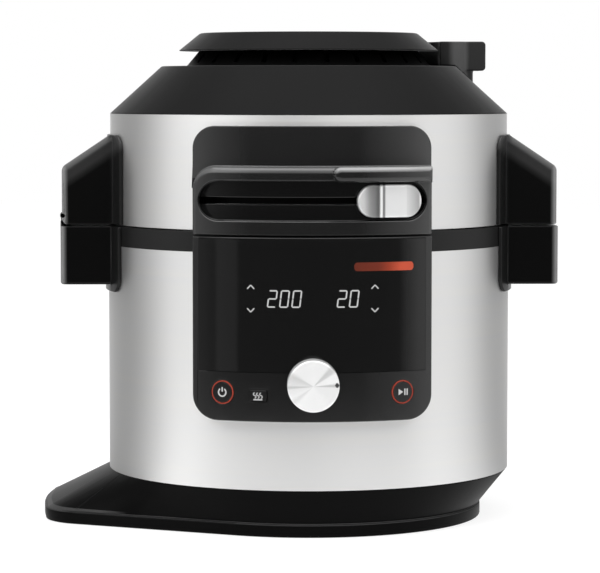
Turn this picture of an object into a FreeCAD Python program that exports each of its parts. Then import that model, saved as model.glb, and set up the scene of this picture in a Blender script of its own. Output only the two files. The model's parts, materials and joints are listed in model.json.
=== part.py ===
import FreeCAD, Part
import math
import os
import re

import Sketcher

# Electric pressure cooker, in millimetres. +Z is up, the origin is on the pot's axis at the floor.
# The front faces -Y, the lid's hinge runs along Y at the left, -X.

SIZES = {
    "wall_radius": 158.5,
    "wall_sheet": 0.8,
    "wall_low": 37.5,
    "collar_low": 214.5,
    "collar_high": 230,
    "seam_gap": 1,
    "running_gap": 0.3,
    "shaft_gap": 0.05,
    "round_room": 0.01,
    "overlap": 1,
    "rim_radius": 135.8,
    "rim_forward": 12,
    "rim_high": 10.4,
    "rim_low": 0.5,
    "rim_wall": 6,
    "rim_ledge": 1.5,
    "lobe_reach": 207,
    "lobe_corner": 40,
    "lobe_bow": 3.3,
    "lobe_front": 39.5,
    "lobe_rear": 52,
    "lobe_wall": 14,
    "foot_ring_radius": 122,
    "foot_ring_width": 10,
    "pad_radius": 9,
    "cover_low": 5,
    "cover_sheet": 2.5,
    "cover_screw_radius": 3,
    "cover_screw_head": 5.4,
    "cover_screw_head_tall": 2,
    "cover_screw_circle_radius": 70,
    "slot_length": 34,
    "slot_width": 4,
    "pot_radius": 127,
    "pot_wall": 2,
    "pot_base": 2.5,
    "pot_rim_radius": 136.5,
    "pot_rim_low": 220,
    "pot_rim_sheet": 2.5,
    "pot_low": 61,
    "liner_radius": 132.2,
    "liner_sheet": 0.8,
    "liner_low": 47,
    "liner_flange": 150,
    "liner_flange_sheet": 1.5,
    "collar_wall": 4.5,
    "collar_ledge": 146,
    "heater_radius": 115,
    "heater_sheet": 8,
    "heater_hole": 22,
    "post_circle_radius": 90,
    "post_radius": 5,
    "sensor_radius": 20,
    "sensor_cap": 5,
    "stem_radius": 5,
    "stem_low": 38,
    "bracket_radius": 34,
    "bracket_sheet": 2.5,
    "liner_hole": 26,
    "lug_inner": 141,
    "lug_low": 224,
    "lug_sheet": 4,
    "lug_angle": 14,
    "hook_angle": 12,
    "hook_offset": 36,
    "hook_low": 220.6,
    "hook_sheet": 2.8,
    "hook_inner": 138,
    "hook_outer": 145.5,
    "leg_outer": 140.7,
    "lock_inner": 143,
    "lock_high": 258,
    "lock_flange": 149,
    "lock_flange_low": 235.3,
    "lock_flange_sheet": 1.7,
    "handle_reach": 194.4,
    "handle_half": 45,
    "handle_low": 184,
    "handle_high": 229.5,
    "handle_round": 6,
    "handle_edge": 2,
    "grip_overlap": 32,
    "handle_wall": 7,
    "grip_wall": 3,
    "flange_half": 62,
    "flange_low": 178.5,
    "flange_sheet": 2.5,
    "flange_round": 12,
    "lid_handle_inset": 1.2,
    "lid_handle_shoulder": 275.5,
    "lid_handle_top": 300.5,
    "lid_handle_step": 156,
    "hinge_inset": 2.3,
    "hinge_z": 237.6,
    "knuckle_radius": 3,
    "pin_radius": 1.5,
    "pin_half": 34,
    "lid_knuckle_half": 18,
    "ridge_rise": 4.5,
    "hinge_room": 0.5,
    "ridge_gap": 0.8,
    "panel_half": 89.3,
    "panel_low": 90,
    "panel_high": 226.8,
    "panel_radius": 168,
    "panel_corner": 18.5,
    "lens_half": 84.5,
    "lens_low": 127,
    "lens_high": 225.3,
    "lens_sheet": 1.4,
    "dial_z": 118.5,
    "dial_radius": 19.2,
    "dial_depth": 17,
    "dial_bevel": 0.8,
    "dial_gap": 0.6,
    "encoder_half": 7,
    "encoder_shaft": 3,
    "board_face": 149.5,
    "board_sheet": 1.6,
    "board_half": 44,
    "board_low": 104,
    "board_high": 205,
    "standoff_radius": 3,
    "button_angle": 23.5,
    "button_z": 111.3,
    "button_radius": 7.6,
    "button_flange": 8.4,
    "button_step": 163,
    "button_travel": 0.8,
    "button_proud": 0.6,
    "ring_radius": 8.8,
    "ring_depth": 3,
    "key_angle": 14,
    "key_half": 6.5,
    "key_tall": 4,
    "key_z": 109.5,
    "cover_radius": 159.7,
    "cover_start": 12,
    "rear_low": 46,
    "rear_high": 205,
    "rear_room": 1.5,
    "vent_pitch": 9,
    "vent_tall": 3.5,
    "vent_half": 34,
    "vent_low": 150,
    "inlet_z": 62,
    "inlet_x": 48,
    "inlet_radius": 9,
    "inlet_bore": 3.6,
    "inlet_reach": 170,
    "tray_half": 34,
    "tray_low": 92,
    "tray_tall": 24,
    "tray_front": 161,
    "tray_reach": 187,
    "tray_wall": 1.8,
    "tray_rail": 2.2,
    "power_board_half": 78,
    "power_board_low": 14,
    "component_offset": 36,
    "transformer_half": 22,
    "transformer_tall": 18,
    "relay_half": 12,
    "relay_tall": 14,
    "capacitor_radius": 10,
    "capacitor_tall": 19,
    "lid_radius": 157,
    "lid_high": 317,
    "cone_low_radius": 157,
    "cone_top_radius": 116.2,
    "cone_high": 354,
    "cone_skirt": 7,
    "shell": 2.5,
    "shell_hole": 60,
    "neck_low_radius": 96.5,
    "neck_high_radius": 86.5,
    "neck_high": 366,
    "neck_wall": 6,
    "cap_low_radius": 103,
    "cap_high_radius": 85.7,
    "cap_high": 380,
    "cap_wall": 3.5,
    "bezel_high": 235,
    "bezel_inner": 146,
    "bowl_radius": 113.2,
    "bowl_sheet": 1.2,
    "bowl_flange": 137.5,
    "bowl_flange_low": 229,
    "bowl_flange_sheet": 2,
    "bowl_high": 285,
    "plate_low": 262,
    "plate_sheet": 1.6,
    "seal_inner": 128,
    "guard_low": 240,
    "guard_sheet": 2,
    "element_z": 254,
    "element_radius": 3.2,
    "element_inner": 62,
    "element_outer": 84,
    "fan_radius": 50,
    "fan_low": 267,
    "fan_tall": 12,
    "hub_radius": 8,
    "blade_sheet": 1.2,
    "shaft_radius": 3,
    "shaft_low": 264,
    "motor_radius": 30,
    "motor_tall": 38,
    "bracket_plate": 3,
    "bracket_half": 42,
    "cooler_radius": 44,
    "cooler_low": 332,
    "cooler_tall": 14,
    "lid_panel_low": 228.3,
    "lid_panel_high": 309,
    "lid_panel_radius": 161,
    "lid_panel_corner": 17,
    "channel_house_high": 279,
    "channel_house_corner": 18,
    "house_round": 5.5,
    "channel_floor": 162,
    "channel_low": 238.7,
    "channel_high": 268.7,
    "channel_half": 85.3,
    "lip_radius": 175,
    "lip_left": 15,
    "lip_low": 267.5,
    "lip_round": 4.5,
    "knob_angle": 20.2,
    "knob_half": 25.7,
    "knob_half_tall": 12.3,
    "knob_z": 253.5,
    "knob_inner": 163,
    "knob_radius": 168.6,
    "ridge_offset": 8.5,
    "ridge_half": 2.2,
    "ridge_proud": 1.6,
    "arm_half": 8,
    "arm_half_tall": 1.6,
    "window_half_tall": 2.4,
    "window_half": 84,
    "valve_left": 90,
    "valve_right": 132,
    "valve_front": 2,
    "valve_rear": 58,
    "valve_high": 373.7,
    "valve_low": 330,
    "valve_round": 20,
    "tip_reach": 140.9,
    "tip_low": 350.5,
    "tip_front": 6,
    "tip_rear": 48,
    "tip_round": 3,
    "pipe_x": 115,
    "pipe_y": 33,
    "pipe_radius": 5,
    "pipe_bore": 3,
    "pipe_high": 364,
    "float_x": 96,
    "float_y": 90,
    "float_radius": 4,
    "float_head": 6.5,
    "float_low": 252,
    "float_high": 343,
    "filter_radius": 6,
    "filter_drop": 5,
}

doc = FreeCAD.newDocument("pressure_cooker")
sheet = doc.addObject("Spreadsheet::Sheet", "sizes")
for row, (alias, value) in enumerate(SIZES.items(), 1):
    sheet.set(f"A{row}", alias)
    sheet.set(f"B{row}", str(value))
    sheet.setAlias(f"B{row}", alias)
doc.recompute()

ALIASES = re.compile(r"\b(" + "|".join(SIZES) + r")\b")
FULL_TURN = 360
# Tools that cut right through reach past the body by this much.
FAR = "(lobe_reach * 2)"


def bind(item, path, expression):
    item.setExpression(path, ALIASES.sub(r"sizes.\1", str(expression)))


def size(expression):
    """The present value of an expression of sheet sizes."""
    probe = ALIASES.sub(lambda found: str(sheet.get(found.group(1))), str(expression))
    return float(FreeCAD.Units.parseQuantity(probe))


def place(item, x="0", y="0", z="0", axis=None, angle="0"):
    if axis is not None:
        item.Placement = FreeCAD.Placement(FreeCAD.Vector(), FreeCAD.Rotation(axis, 1))
        bind(item, "Placement.Rotation.Angle", angle)
    for path, expression in (("x", x), ("y", y), ("z", z)):
        bind(item, "Placement.Base." + path, expression)
    return item


Z_AXIS = FreeCAD.Vector(0, 0, 1)
X_AXIS = FreeCAD.Vector(1, 0, 0)


def cylinder(radius, low, high, x="0", y="0"):
    item = doc.addObject("Part::Cylinder", "cylinder")
    bind(item, "Radius", radius)
    bind(item, "Height", f"({high}) - ({low})")
    return place(item, x, y, low)


def front_cylinder(radius, back, front, x, z):
    """A cylinder along Y, from y = -back to y = -front, front being the further out."""
    item = doc.addObject("Part::Cylinder", "front_cylinder")
    bind(item, "Radius", radius)
    bind(item, "Height", f"({front}) - ({back})")
    return place(item, x, f"-({back})", z, X_AXIS, "90")


def spoke_cylinder(radius, inner, outer, angle, z):
    """A cylinder along a radius of the body, the angle counted from the front towards +X."""
    item = front_cylinder(radius, inner, outer, "0", z)
    return turn(item, angle)


def turn(item, angle):
    """A copy of the piece turned about the body's axis."""
    turned_item = doc.addObject("Part::Compound", "turned")
    turned_item.Links = [item]
    return place(turned_item, axis=Z_AXIS, angle=angle)


def block(x_low, x_high, y_low, y_high, z_low, z_high):
    item = doc.addObject("Part::Box", "block")
    bind(item, "Length", f"({x_high}) - ({x_low})")
    bind(item, "Width", f"({y_high}) - ({y_low})")
    bind(item, "Height", f"({z_high}) - ({z_low})")
    return place(item, x_low, y_low, z_low)


def torus(ring_radius, tube_radius, z):
    item = doc.addObject("Part::Torus", "torus")
    bind(item, "Radius1", ring_radius)
    bind(item, "Radius2", tube_radius)
    return place(item, z=z)


def join(*items):
    item = doc.addObject("Part::MultiFuse", "join")
    item.Shapes = list(items)
    item.Refine = True
    return item


def cut(base, *tools):
    item = doc.addObject("Part::Cut", "cut")
    item.Base = base
    item.Tool = tools[0] if len(tools) == 1 else join(*tools)
    item.Refine = True
    return item


def common(*items):
    item = doc.addObject("Part::MultiCommon", "common")
    item.Shapes = list(items)
    item.Refine = True
    return item


def group(*items):
    item = doc.addObject("Part::Compound", "group")
    item.Links = list(items)
    return item


def ring(outer, inner, low, high):
    return cut(cylinder(outer, low, high), cylinder(inner, f"({low}) - overlap", f"({high}) + overlap"))


def sketch(body, plane_role, points, offset="0"):
    """A closed outline on one of the body's planes, with each corner bound to the sheet."""
    outline = body.newObject("Sketcher::SketchObject", "outline")
    plane = next(item for item in body.Origin.OriginFeatures if item.Role == plane_role)
    outline.AttachmentSupport = [(plane, "")]
    outline.MapMode = "FlatFace"
    bind(outline, "AttachmentOffset.Base.z", offset)
    corners = [FreeCAD.Vector(size(across), size(up), 0) for across, up in points]
    count = len(points)
    for index, corner in enumerate(corners):
        outline.addGeometry(Part.LineSegment(corner, corners[(index + 1) % count]), False)
    for index, (across, up) in enumerate(points):
        outline.addConstraint(Sketcher.Constraint("Coincident", index, 2, (index + 1) % count, 1))
        for kind, expression in (("DistanceX", across), ("DistanceY", up)):
            number = outline.addConstraint(Sketcher.Constraint(kind, index, 1, size(expression)))
            bind(outline, f"Constraints[{number}]", expression)
    return outline


def turned(points):
    """A piece turned about Z from an outline of (radius, height) corners."""
    body = doc.addObject("PartDesign::Body", "turned_body")
    outline = sketch(body, "XZ_Plane", points)
    feature = body.newObject("PartDesign::Revolution", "revolution")
    feature.Profile = outline
    feature.ReferenceAxis = (outline, ["V_Axis"])
    feature.Angle = FULL_TURN
    return body


def padded(plane_role, points, low, high, rounds=()):
    """A prism along the plane's normal: Y for XZ_Plane, Z for XY_Plane, from low to high.

    Each round is a radius and a test that picks the edges that it is given to.
    """
    body = doc.addObject("PartDesign::Body", "padded_body")
    flipped = plane_role == "XZ_Plane"
    outline = sketch(body, plane_role, points, f"-({high})" if flipped else low)
    feature = body.newObject("PartDesign::Pad", "pad")
    feature.Profile = outline
    bind(feature, "Length", f"({high}) - ({low})")
    for radius, test in rounds:
        doc.recompute()
        edges = [f"Edge{number}" for number, edge in enumerate(feature.Shape.Edges, 1) if test(edge)]
        rounded = body.newObject("PartDesign::Fillet", "rounded")
        rounded.Base = (feature, edges)
        bind(rounded, "Radius", radius)
        feature = rounded
    return body


def along(edge, axis):
    """Whether a straight edge runs along X (0), Y (1) or Z (2)."""
    if edge.Curve.TypeId != "Part::GeomLine":
        return False
    return abs(abs(edge.Curve.Direction[axis]) - 1) < 1e-6


def at(edge, axis, expression):
    """Whether the edge's middle lies at the given place on X (0), Y (1) or Z (2)."""
    return abs(edge.BoundBox.Center[axis] - size(expression)) < 1e-3


def face_plate(left, right, low, high, corners):
    """A front-facing prism; corners are (x, z, radius) of its rounded corners."""
    points = ((left, low), (right, low), (right, high), (left, high))
    rounds = []
    for x, z, radius in corners:
        rounds.append((radius, lambda edge, x=x, z=z: along(edge, 1) and at(edge, 0, x) and at(edge, 2, z)))
    return padded("XZ_Plane", points, f"-{FAR}", "-(pot_radius / 2)", rounds)


def on_round(edge, radius):
    """Whether an edge lies on an upright cylinder about the body's axis."""
    return all(abs(math.hypot(point.x, point.y) - size(radius)) < 1e-2 for point in edge.discretize(5))


def rounded(item, radius, test):
    """A copy of the piece with the edges that pass a test rounded."""
    doc.recompute()
    soft = doc.addObject("Part::Fillet", "soft")
    soft.Base = item
    reach = size(radius)
    soft.Edges = [(number, reach, reach) for number, edge in enumerate(item.Shape.Edges, 1) if test(edge)]
    return soft


def all_corners(left, right, low, high, radius):
    return [(x, z, radius) for x in (left, right) for z in (low, high)]


def curved_plate(outer, inner, low, high, plate):
    """The stretch of a round wall that a front-facing prism covers."""
    return common(ring(outer, inner, low, high), plate)


def name(item, label):
    item.Label = label
    pieces.append(item)
    return item


pieces = []


def lobe_angle(side):
    """How far the foot's tangent to a lobe corner leans from the X direction, in radians."""
    centre = size("lobe_reach - lobe_corner")
    reach = math.hypot(centre, side)
    return math.asin(size("rim_radius - lobe_corner") / reach) - math.atan2(side, centre)


def foot_side(rim_centre, side, sign, inset):
    """The points of the foot's rear (sign 1) or front (-1) half, from the right to the lobe's end."""
    rim = size("rim_radius") - inset
    corner = size("lobe_corner") - inset
    angle = lobe_angle(side + sign * abs(rim_centre.y))
    normal = FreeCAD.Vector(-math.sin(angle), sign * math.cos(angle), 0)
    corner_centre = FreeCAD.Vector(size("lobe_corner - lobe_reach"), sign * side, 0)
    return {"right": rim_centre + X_AXIS * rim,
            "round": rim_centre + (normal + X_AXIS).normalize() * rim,
            "tangent": rim_centre + normal * rim,
            "corner": corner_centre + normal * corner,
            "corner_round": corner_centre + (normal - X_AXIS).normalize() * corner,
            "end": corner_centre - X_AXIS * corner}


def foot_outline(inset=0):
    """The foot's outline, drawn in by an inset: its corner points and a middle point for each arc."""
    rear = foot_side(FreeCAD.Vector(), size("lobe_rear"), 1, inset)
    front = foot_side(FreeCAD.Vector(0, -size("rim_forward"), 0), size("lobe_front"), -1, inset)
    bowed_end = (rear["end"] + front["end"]) * 0.5 - X_AXIS * size("lobe_bow")
    return [(front["right"], None), (rear["right"], rear["round"]), (rear["tangent"], None),
            (rear["corner"], rear["corner_round"]), (rear["end"], bowed_end),
            (front["end"], front["corner_round"]), (front["corner"], None),
            (front["tangent"], front["round"])]


def outline_wire(stations, height, radius=None):
    """The outline at a height, or its shadow on a circle when a radius is given."""
    def lifted(point):
        if radius is not None:
            point = FreeCAD.Vector(point).normalize() * radius
        return FreeCAD.Vector(point.x, point.y, height)

    edges = []
    for index, (start, middle) in enumerate(stations):
        end = stations[(index + 1) % len(stations)][0]
        if middle is None and radius is None:
            edges.append(Part.LineSegment(lifted(start), lifted(end)).toShape())
            continue
        through = middle if middle is not None else (start + end) * 0.5
        edges.append(Part.Arc(lifted(start), lifted(through), lifted(end)).toShape())
    return Part.Wire(edges)


def base_foot():
    """A flared skirt on a rim that stands out from it by a narrow ledge."""
    skirt = foot_outline(size("rim_ledge"))
    rim_high = size("rim_high")
    rim_low = size("rim_low")
    lower = outline_wire(skirt, rim_high)
    upper = outline_wire(skirt, size("wall_low"), size("wall_radius"))
    flank = Part.makeLoft([lower, upper], True, True)
    floor = Part.Face(outline_wire(foot_outline(), rim_low))
    rim = floor.extrude(FreeCAD.Vector(0, 0, rim_high - rim_low))
    solid = doc.addObject("Part::Feature", "foot_solid")
    solid.Shape = flank.fuse(rim).removeSplitter()
    hollow = cylinder("rim_radius - rim_wall", "rim_low - overlap", "wall_low + overlap")
    pocket = block("lobe_wall - lobe_reach", "-(rim_radius + rim_wall)", "pad_radius * 1.5 - lobe_front",
                   "lobe_rear - pad_radius * 1.5", "rim_low - overlap", "rim_high + rim_low")
    name(cut(solid, hollow, pocket), "base_foot")


def rubber_feet():
    feet = [ring("foot_ring_radius", "foot_ring_radius - foot_ring_width", "0", "cover_low")]
    for y in ("-lobe_front", "lobe_rear"):
        feet.append(cylinder("pad_radius", "0", "rim_low", "lobe_wall + pad_radius - lobe_reach", y))
    name(group(*feet), "rubber_feet")


COVER_SCREWS = 6
COVER_SLOTS = 12


def on_circle(radius, index, count):
    """The X and Y of one of several places spread evenly round a circle."""
    angle = math.radians(index * FULL_TURN / count)
    return f"{radius} * {math.cos(angle)}", f"{radius} * {math.sin(angle)}"


def bottom_cover():
    low = "cover_low - overlap"
    high = "cover_low + cover_sheet + overlap"
    plate = cylinder("rim_radius - rim_wall", "cover_low", "cover_low + cover_sheet")
    holes = []
    for index in range(COVER_SLOTS):
        slot = block("slot_length", "slot_length * 2", "-slot_width / 2", "slot_width / 2", low, high)
        holes.append(turn(slot, (index + 0.5) * FULL_TURN / COVER_SLOTS))
    for index in range(COVER_SCREWS):
        x, y = on_circle("cover_screw_circle_radius", index, COVER_SCREWS)
        holes.append(cylinder("cover_screw_radius", low, high, x, y))
    name(cut(plate, *holes), "bottom_cover")


def bottom_screws():
    screws = []
    for index in range(COVER_SCREWS):
        x, y = on_circle("cover_screw_circle_radius", index, COVER_SCREWS)
        head = cylinder("cover_screw_head", "cover_low - cover_screw_head_tall", "cover_low", x, y)
        shank = cylinder("cover_screw_radius", "cover_low - overlap", "power_board_low", x, y)
        screws.append(join(head, shank))
    name(group(*screws), "bottom_screws")


def outer_wall():
    wall = ring("wall_radius", "wall_radius - wall_sheet", "wall_low", "collar_low")
    holes = [front_cylinder("encoder_shaft + seam_gap", "pot_radius", "panel_radius", "0", "dial_z")]
    name(cut(wall, *holes), "outer_wall")


def rim_collar():
    inner = "wall_radius - collar_wall"
    ledge = "pot_rim_low - liner_flange_sheet"
    name(turned((("wall_radius", "collar_low"), ("wall_radius", "collar_high"), (inner, "collar_high"),
                 (inner, ledge), ("collar_ledge", ledge), ("collar_ledge", "collar_low"))), "rim_collar")


LUGS = 6


def sector(outer, inner, low, high, width, middle):
    """Part of a ring, as wide as an angle, the middle counted from +X."""
    item = doc.addObject("Part::Cylinder", "sector")
    bind(item, "Radius", outer)
    bind(item, "Height", f"({high}) - ({low})")
    bind(item, "Angle", width)
    place(item, z=low, axis=Z_AXIS, angle=f"({middle}) - ({width}) / 2")
    return cut(item, cylinder(inner, f"({low}) - overlap", f"({high}) + overlap"))


def lock_flange():
    high = "lug_low + lug_sheet"
    parts = [ring("wall_radius - collar_wall", "collar_ledge", "lug_low", high)]
    for index in range(LUGS):
        middle = index * FULL_TURN / LUGS
        parts.append(sector("collar_ledge + overlap", "lug_inner", "lug_low", high, "lug_angle", middle))
    name(join(*parts), "lock_flange")


def inner_liner():
    high = "pot_rim_low"
    flange_low = "pot_rim_low - liner_flange_sheet"
    wall = "liner_radius - liner_sheet"
    floor = "liner_low + liner_sheet"
    name(turned((("liner_hole", "liner_low"), ("liner_radius", "liner_low"), ("liner_radius", flange_low),
                 ("liner_flange", flange_low), ("liner_flange", high), (wall, high),
                 (wall, floor), ("liner_hole", floor))), "inner_liner")


def cooking_pot():
    inner = "pot_radius - pot_wall"
    rim_high = "pot_rim_low + pot_rim_sheet"
    body = turned((("0", "pot_low"), ("pot_radius", "pot_low"), ("pot_radius", "pot_rim_low"),
                   ("pot_rim_radius", "pot_rim_low"), ("pot_rim_radius", rim_high), (inner, rim_high),
                   (inner, "pot_low + pot_base"), ("0", "pot_low + pot_base")))
    name(body, "cooking_pot")


HEATER_POSTS = 3


def heater_plate():
    name(ring("heater_radius", "heater_hole", "pot_low - heater_sheet", "pot_low"), "heater_plate")


def heater_posts():
    posts = []
    for index in range(HEATER_POSTS):
        x, y = on_circle("post_circle_radius", index, HEATER_POSTS)
        posts.append(cylinder("post_radius", "liner_low + liner_sheet", "pot_low - heater_sheet", x, y))
    name(group(*posts), "heater_posts")


def temperature_sensor():
    top = "pot_low - running_gap"
    cap = cylinder("sensor_radius", f"{top} - sensor_cap", top)
    stem = cylinder("stem_radius", "stem_low", f"{top} - sensor_cap / 2")
    name(join(cap, stem), "temperature_sensor")


def sensor_bracket():
    plate = cylinder("bracket_radius", "liner_low - bracket_sheet", "liner_low")
    bore = cylinder("stem_radius + shaft_gap", "liner_low - bracket_sheet - overlap", "liner_low + overlap")
    name(cut(plate, bore), "sensor_bracket")


LID_LOW = "(collar_high + seam_gap)"
RIGHT = 1
LEFT = -1


def span(side, near, far):
    """The low and high X of a stretch on one side of the body."""
    return (near, far) if side == RIGHT else (f"-({far})", f"-({near})")


def side_cylinder(radius, y_low, y_high, x, z):
    return front_cylinder(radius, f"-({y_high})", f"-({y_low})", x, z)


def handle_flange(side, radius, low, high, rounded_z):
    """The plate that hugs the steel behind a handle, with two corners rounded."""
    points = (("-flange_half", low), ("flange_half", low), ("flange_half", high), ("-flange_half", high))
    rounds = [("flange_round", lambda edge: along(edge, 0) and at(edge, 2, rounded_z))]
    plate = padded("YZ_Plane", points, *span(side, "wall_radius / 2", FAR), rounds)
    return common(ring(f"{radius} + flange_sheet", radius, low, high), plate)


LID_REACH = "(handle_reach - lid_handle_inset)"
HINGE_X = "(handle_reach - hinge_inset)"


def outer_edges(side, reach):
    return lambda edge: along(edge, 2) and at(edge, 0, f"{side} * {reach}")


def lid_grip_edges(side):
    """A test for the lid handle's upright outer edges, its shoulder and the sides of its slope."""
    upright = outer_edges(side, LID_REACH)

    def is_upper(edge):
        sloped = not any(along(edge, axis) for axis in range(3))
        shoulder = along(edge, 1) and at(edge, 0, f"{side} * {LID_REACH}")
        return (sloped or shoulder) and edge.BoundBox.ZMax > size("lid_handle_shoulder") - 1

    return lambda edge: upright(edge) or is_upper(edge)


def hinge_cylinder(radius, y_low, y_high):
    return side_cylinder(radius, y_low, y_high, f"-{HINGE_X}", "hinge_z")


def base_handle(side):
    inner = f"{side} * (wall_radius - grip_overlap)"
    outer = f"{side} * handle_reach"
    points = ((inner, "handle_low"), (outer, "handle_low"), (outer, "handle_high"), (inner, "handle_high"))
    underside = ("handle_edge", lambda edge: at(edge, 2, "handle_low") and not at(edge, 0, inner))
    grip = padded("XZ_Plane", points, "-handle_half", "handle_half",
                  [("handle_round", outer_edges(side, "handle_reach")), underside])
    flange = handle_flange(side, "wall_radius", "flange_low", "handle_high", "flange_low")
    fingers = block(*span(side, "wall_radius + flange_sheet + handle_wall", "handle_reach - grip_wall"),
                    "handle_wall - handle_half", "handle_half - handle_wall",
                    "handle_low - overlap", "handle_high - 2 * handle_wall")
    return cut(join(cut(grip, cylinder("wall_radius", "flange_low", "lid_high")), flange), fingers)


def knuckle_spans():
    """The two stretches of Y that the base's hinge knuckles fill."""
    near = "(lid_knuckle_half + running_gap)"
    return (("-pin_half", f"-{near}"), (near, "pin_half"))


def left_handle_base():
    ridge_top = "handle_high + ridge_rise"
    ridge_root = "handle_high - ridge_rise"
    ridge = padded("XZ_Plane", (("-handle_reach", ridge_root), ("-handle_reach", ridge_top),
                                ("ridge_rise - handle_reach", "handle_high"),
                                ("ridge_rise - handle_reach", ridge_root)),
                   "handle_round - handle_half", "handle_half - handle_round")
    parts = [base_handle(LEFT), ridge]
    for low, high in knuckle_spans():
        parts.append(hinge_cylinder("knuckle_radius", low, high))
        web_end = f"knuckle_radius / 2 - {HINGE_X}"
        parts.append(block("-handle_reach", web_end, low, high, ridge_root, "hinge_z"))
    bore = hinge_cylinder("pin_radius", "-pin_half - overlap", "pin_half + overlap")
    name(cut(join(*parts), bore), "left_handle_base")


def right_handle_base():
    name(base_handle(RIGHT), "right_handle_base")


def hinge_pin():
    name(hinge_cylinder("pin_radius", "-pin_half", "pin_half"), "hinge_pin")


def lid_handle(side, lower_corner):
    """A lid handle; lower_corner lists the points of its lower outer corner."""
    inner = f"{side} * (lid_radius - grip_overlap)"
    outer = f"{side} * {LID_REACH}"
    step = f"{side} * lid_handle_step"
    points = [(inner, LID_LOW), *lower_corner, (outer, "lid_handle_shoulder"), (step, "lid_handle_top"),
              (inner, "lid_handle_top")]
    grip = padded("XZ_Plane", points, "-handle_half", "handle_half", [("handle_round", lid_grip_edges(side))])
    flange = handle_flange(side, "lid_radius", LID_LOW, "lid_handle_top", "lid_handle_top")
    return join(cut(grip, cylinder("lid_radius", "collar_low", "cone_high")), flange)


def left_handle_lid():
    slack = "ridge_gap * sqrt(2)"
    drop = f"(handle_high - {LID_LOW})"
    corner = [(f"ridge_rise + {drop} + {slack} - handle_reach", LID_LOW),
              (f"-{LID_REACH}", f"handle_high + ridge_rise + {slack} - lid_handle_inset")]
    knuckle = hinge_cylinder("knuckle_radius", "-lid_knuckle_half", "lid_knuckle_half")
    body = join(lid_handle(LEFT, corner), knuckle)
    tools = [hinge_cylinder("pin_radius + shaft_gap", "-handle_half", "handle_half")]
    for low, high in knuckle_spans():
        wide_low = f"{low} - running_gap"
        wide_high = f"{high} + running_gap"
        tools.append(hinge_cylinder("knuckle_radius + hinge_room", wide_low, wide_high))
        tools.append(block("-handle_reach - overlap", f"knuckle_radius / 2 + hinge_room - {HINGE_X}",
                           wide_low, wide_high, "handle_high", "hinge_z"))
    name(cut(body, *tools), "left_handle_lid")


def right_handle_lid():
    name(lid_handle(RIGHT, [(LID_REACH, LID_LOW)]), "right_handle_lid")


BUTTON_SIDES = {"power_button": LEFT, "start_button": RIGHT}


def lens_slab(outer):
    """The curved slab that the display lens fills, out to a radius."""
    plate = face_plate("-lens_half", "lens_half", "lens_low", "lens_high", ())
    return curved_plate(outer, "panel_radius - lens_sheet", "lens_low", "lens_high", plate)


def key_block(grow, inner, outer):
    """A block on the key's radius, grown all round by a clearance."""
    item = block(f"-key_half - {grow}", f"key_half + {grow}", f"-({outer})", f"-({inner})",
                 f"key_z - key_tall - {grow}", f"key_z + key_tall + {grow}")
    return turn(item, "-key_angle")


KEY_FLANGE = "(button_flange - button_radius)"


def control_panel():
    corners = [("-panel_half", "panel_low", "panel_corner"), ("panel_half", "panel_low", "panel_corner")]
    plate = face_plate("-panel_half", "panel_half", "panel_low", "panel_high", corners)
    panel = curved_plate("panel_radius", "wall_radius", "panel_low", "panel_high", plate)
    tools = [lens_slab("panel_radius + overlap")]
    tools.append(front_cylinder("encoder_shaft + seam_gap", "pot_radius", FAR, "0", "dial_z"))
    for side in BUTTON_SIDES.values():
        angle = f"{side} * button_angle"
        for radius, inner, outer in (("button_radius + running_gap", "pot_radius", FAR),
                                     ("button_flange + running_gap", "pot_radius", "button_step"),
                                     ("ring_radius", "panel_radius - ring_depth", FAR)):
            tools.append(spoke_cylinder(radius, inner, outer, angle, "button_z"))
    tools.append(key_block("running_gap", "pot_radius", FAR))
    tools.append(key_block(f"({KEY_FLANGE} + running_gap)", "pot_radius", "button_step"))
    name(cut(panel, *tools), "control_panel")


def display_lens():
    name(lens_slab("panel_radius"), "display_lens")


BUTTON_INNER = "(wall_radius + button_travel + 3 * running_gap)"
BUTTON_SHOULDER = "(button_step - running_gap)"


def round_button(label, side):
    angle = f"{side} * button_angle"
    face = spoke_cylinder("button_radius", BUTTON_INNER, "panel_radius + button_proud", angle, "button_z")
    flange = spoke_cylinder("button_flange", BUTTON_INNER, BUTTON_SHOULDER, angle, "button_z")
    name(join(face, flange), label)


def button_rings():
    rings = []
    for side in BUTTON_SIDES.values():
        angle = f"{side} * button_angle"
        outer = spoke_cylinder("ring_radius", "panel_radius - ring_depth", "panel_radius + running_gap",
                               angle, "button_z")
        bore = spoke_cylinder("button_radius + running_gap", "pot_radius", FAR, angle, "button_z")
        rings.append(cut(outer, bore))
    name(group(*rings), "button_rings")


def keep_warm_key():
    face = key_block("0", BUTTON_INNER, "panel_radius + button_proud")
    flange = key_block(KEY_FLANGE, BUTTON_INNER, BUTTON_SHOULDER)
    name(join(face, flange), "keep_warm_key")


DIAL_BACK = "(panel_radius + dial_gap)"


def control_dial():
    front = f"{DIAL_BACK} + dial_depth"
    knob = turned((("0", DIAL_BACK), ("dial_radius", DIAL_BACK), ("dial_radius", f"{front} - dial_bevel"),
                   ("dial_radius - dial_bevel", front), ("0", front)))
    place(knob, z="dial_z", axis=X_AXIS, angle="90")
    bore = front_cylinder("encoder_shaft + shaft_gap", "pot_radius", f"{DIAL_BACK} + dial_depth * 2 / 3", "0",
                          "dial_z")
    name(cut(knob, bore), "control_dial")


def dial_encoder():
    body = block("-encoder_half", "encoder_half", "seam_gap - (wall_radius - wall_sheet)", "-board_face",
                 "dial_z - encoder_half", "dial_z + encoder_half")
    shaft = front_cylinder("encoder_shaft", "board_face + overlap", f"{DIAL_BACK} + dial_depth / 2", "0",
                           "dial_z")
    name(join(body, shaft), "dial_encoder")


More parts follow.
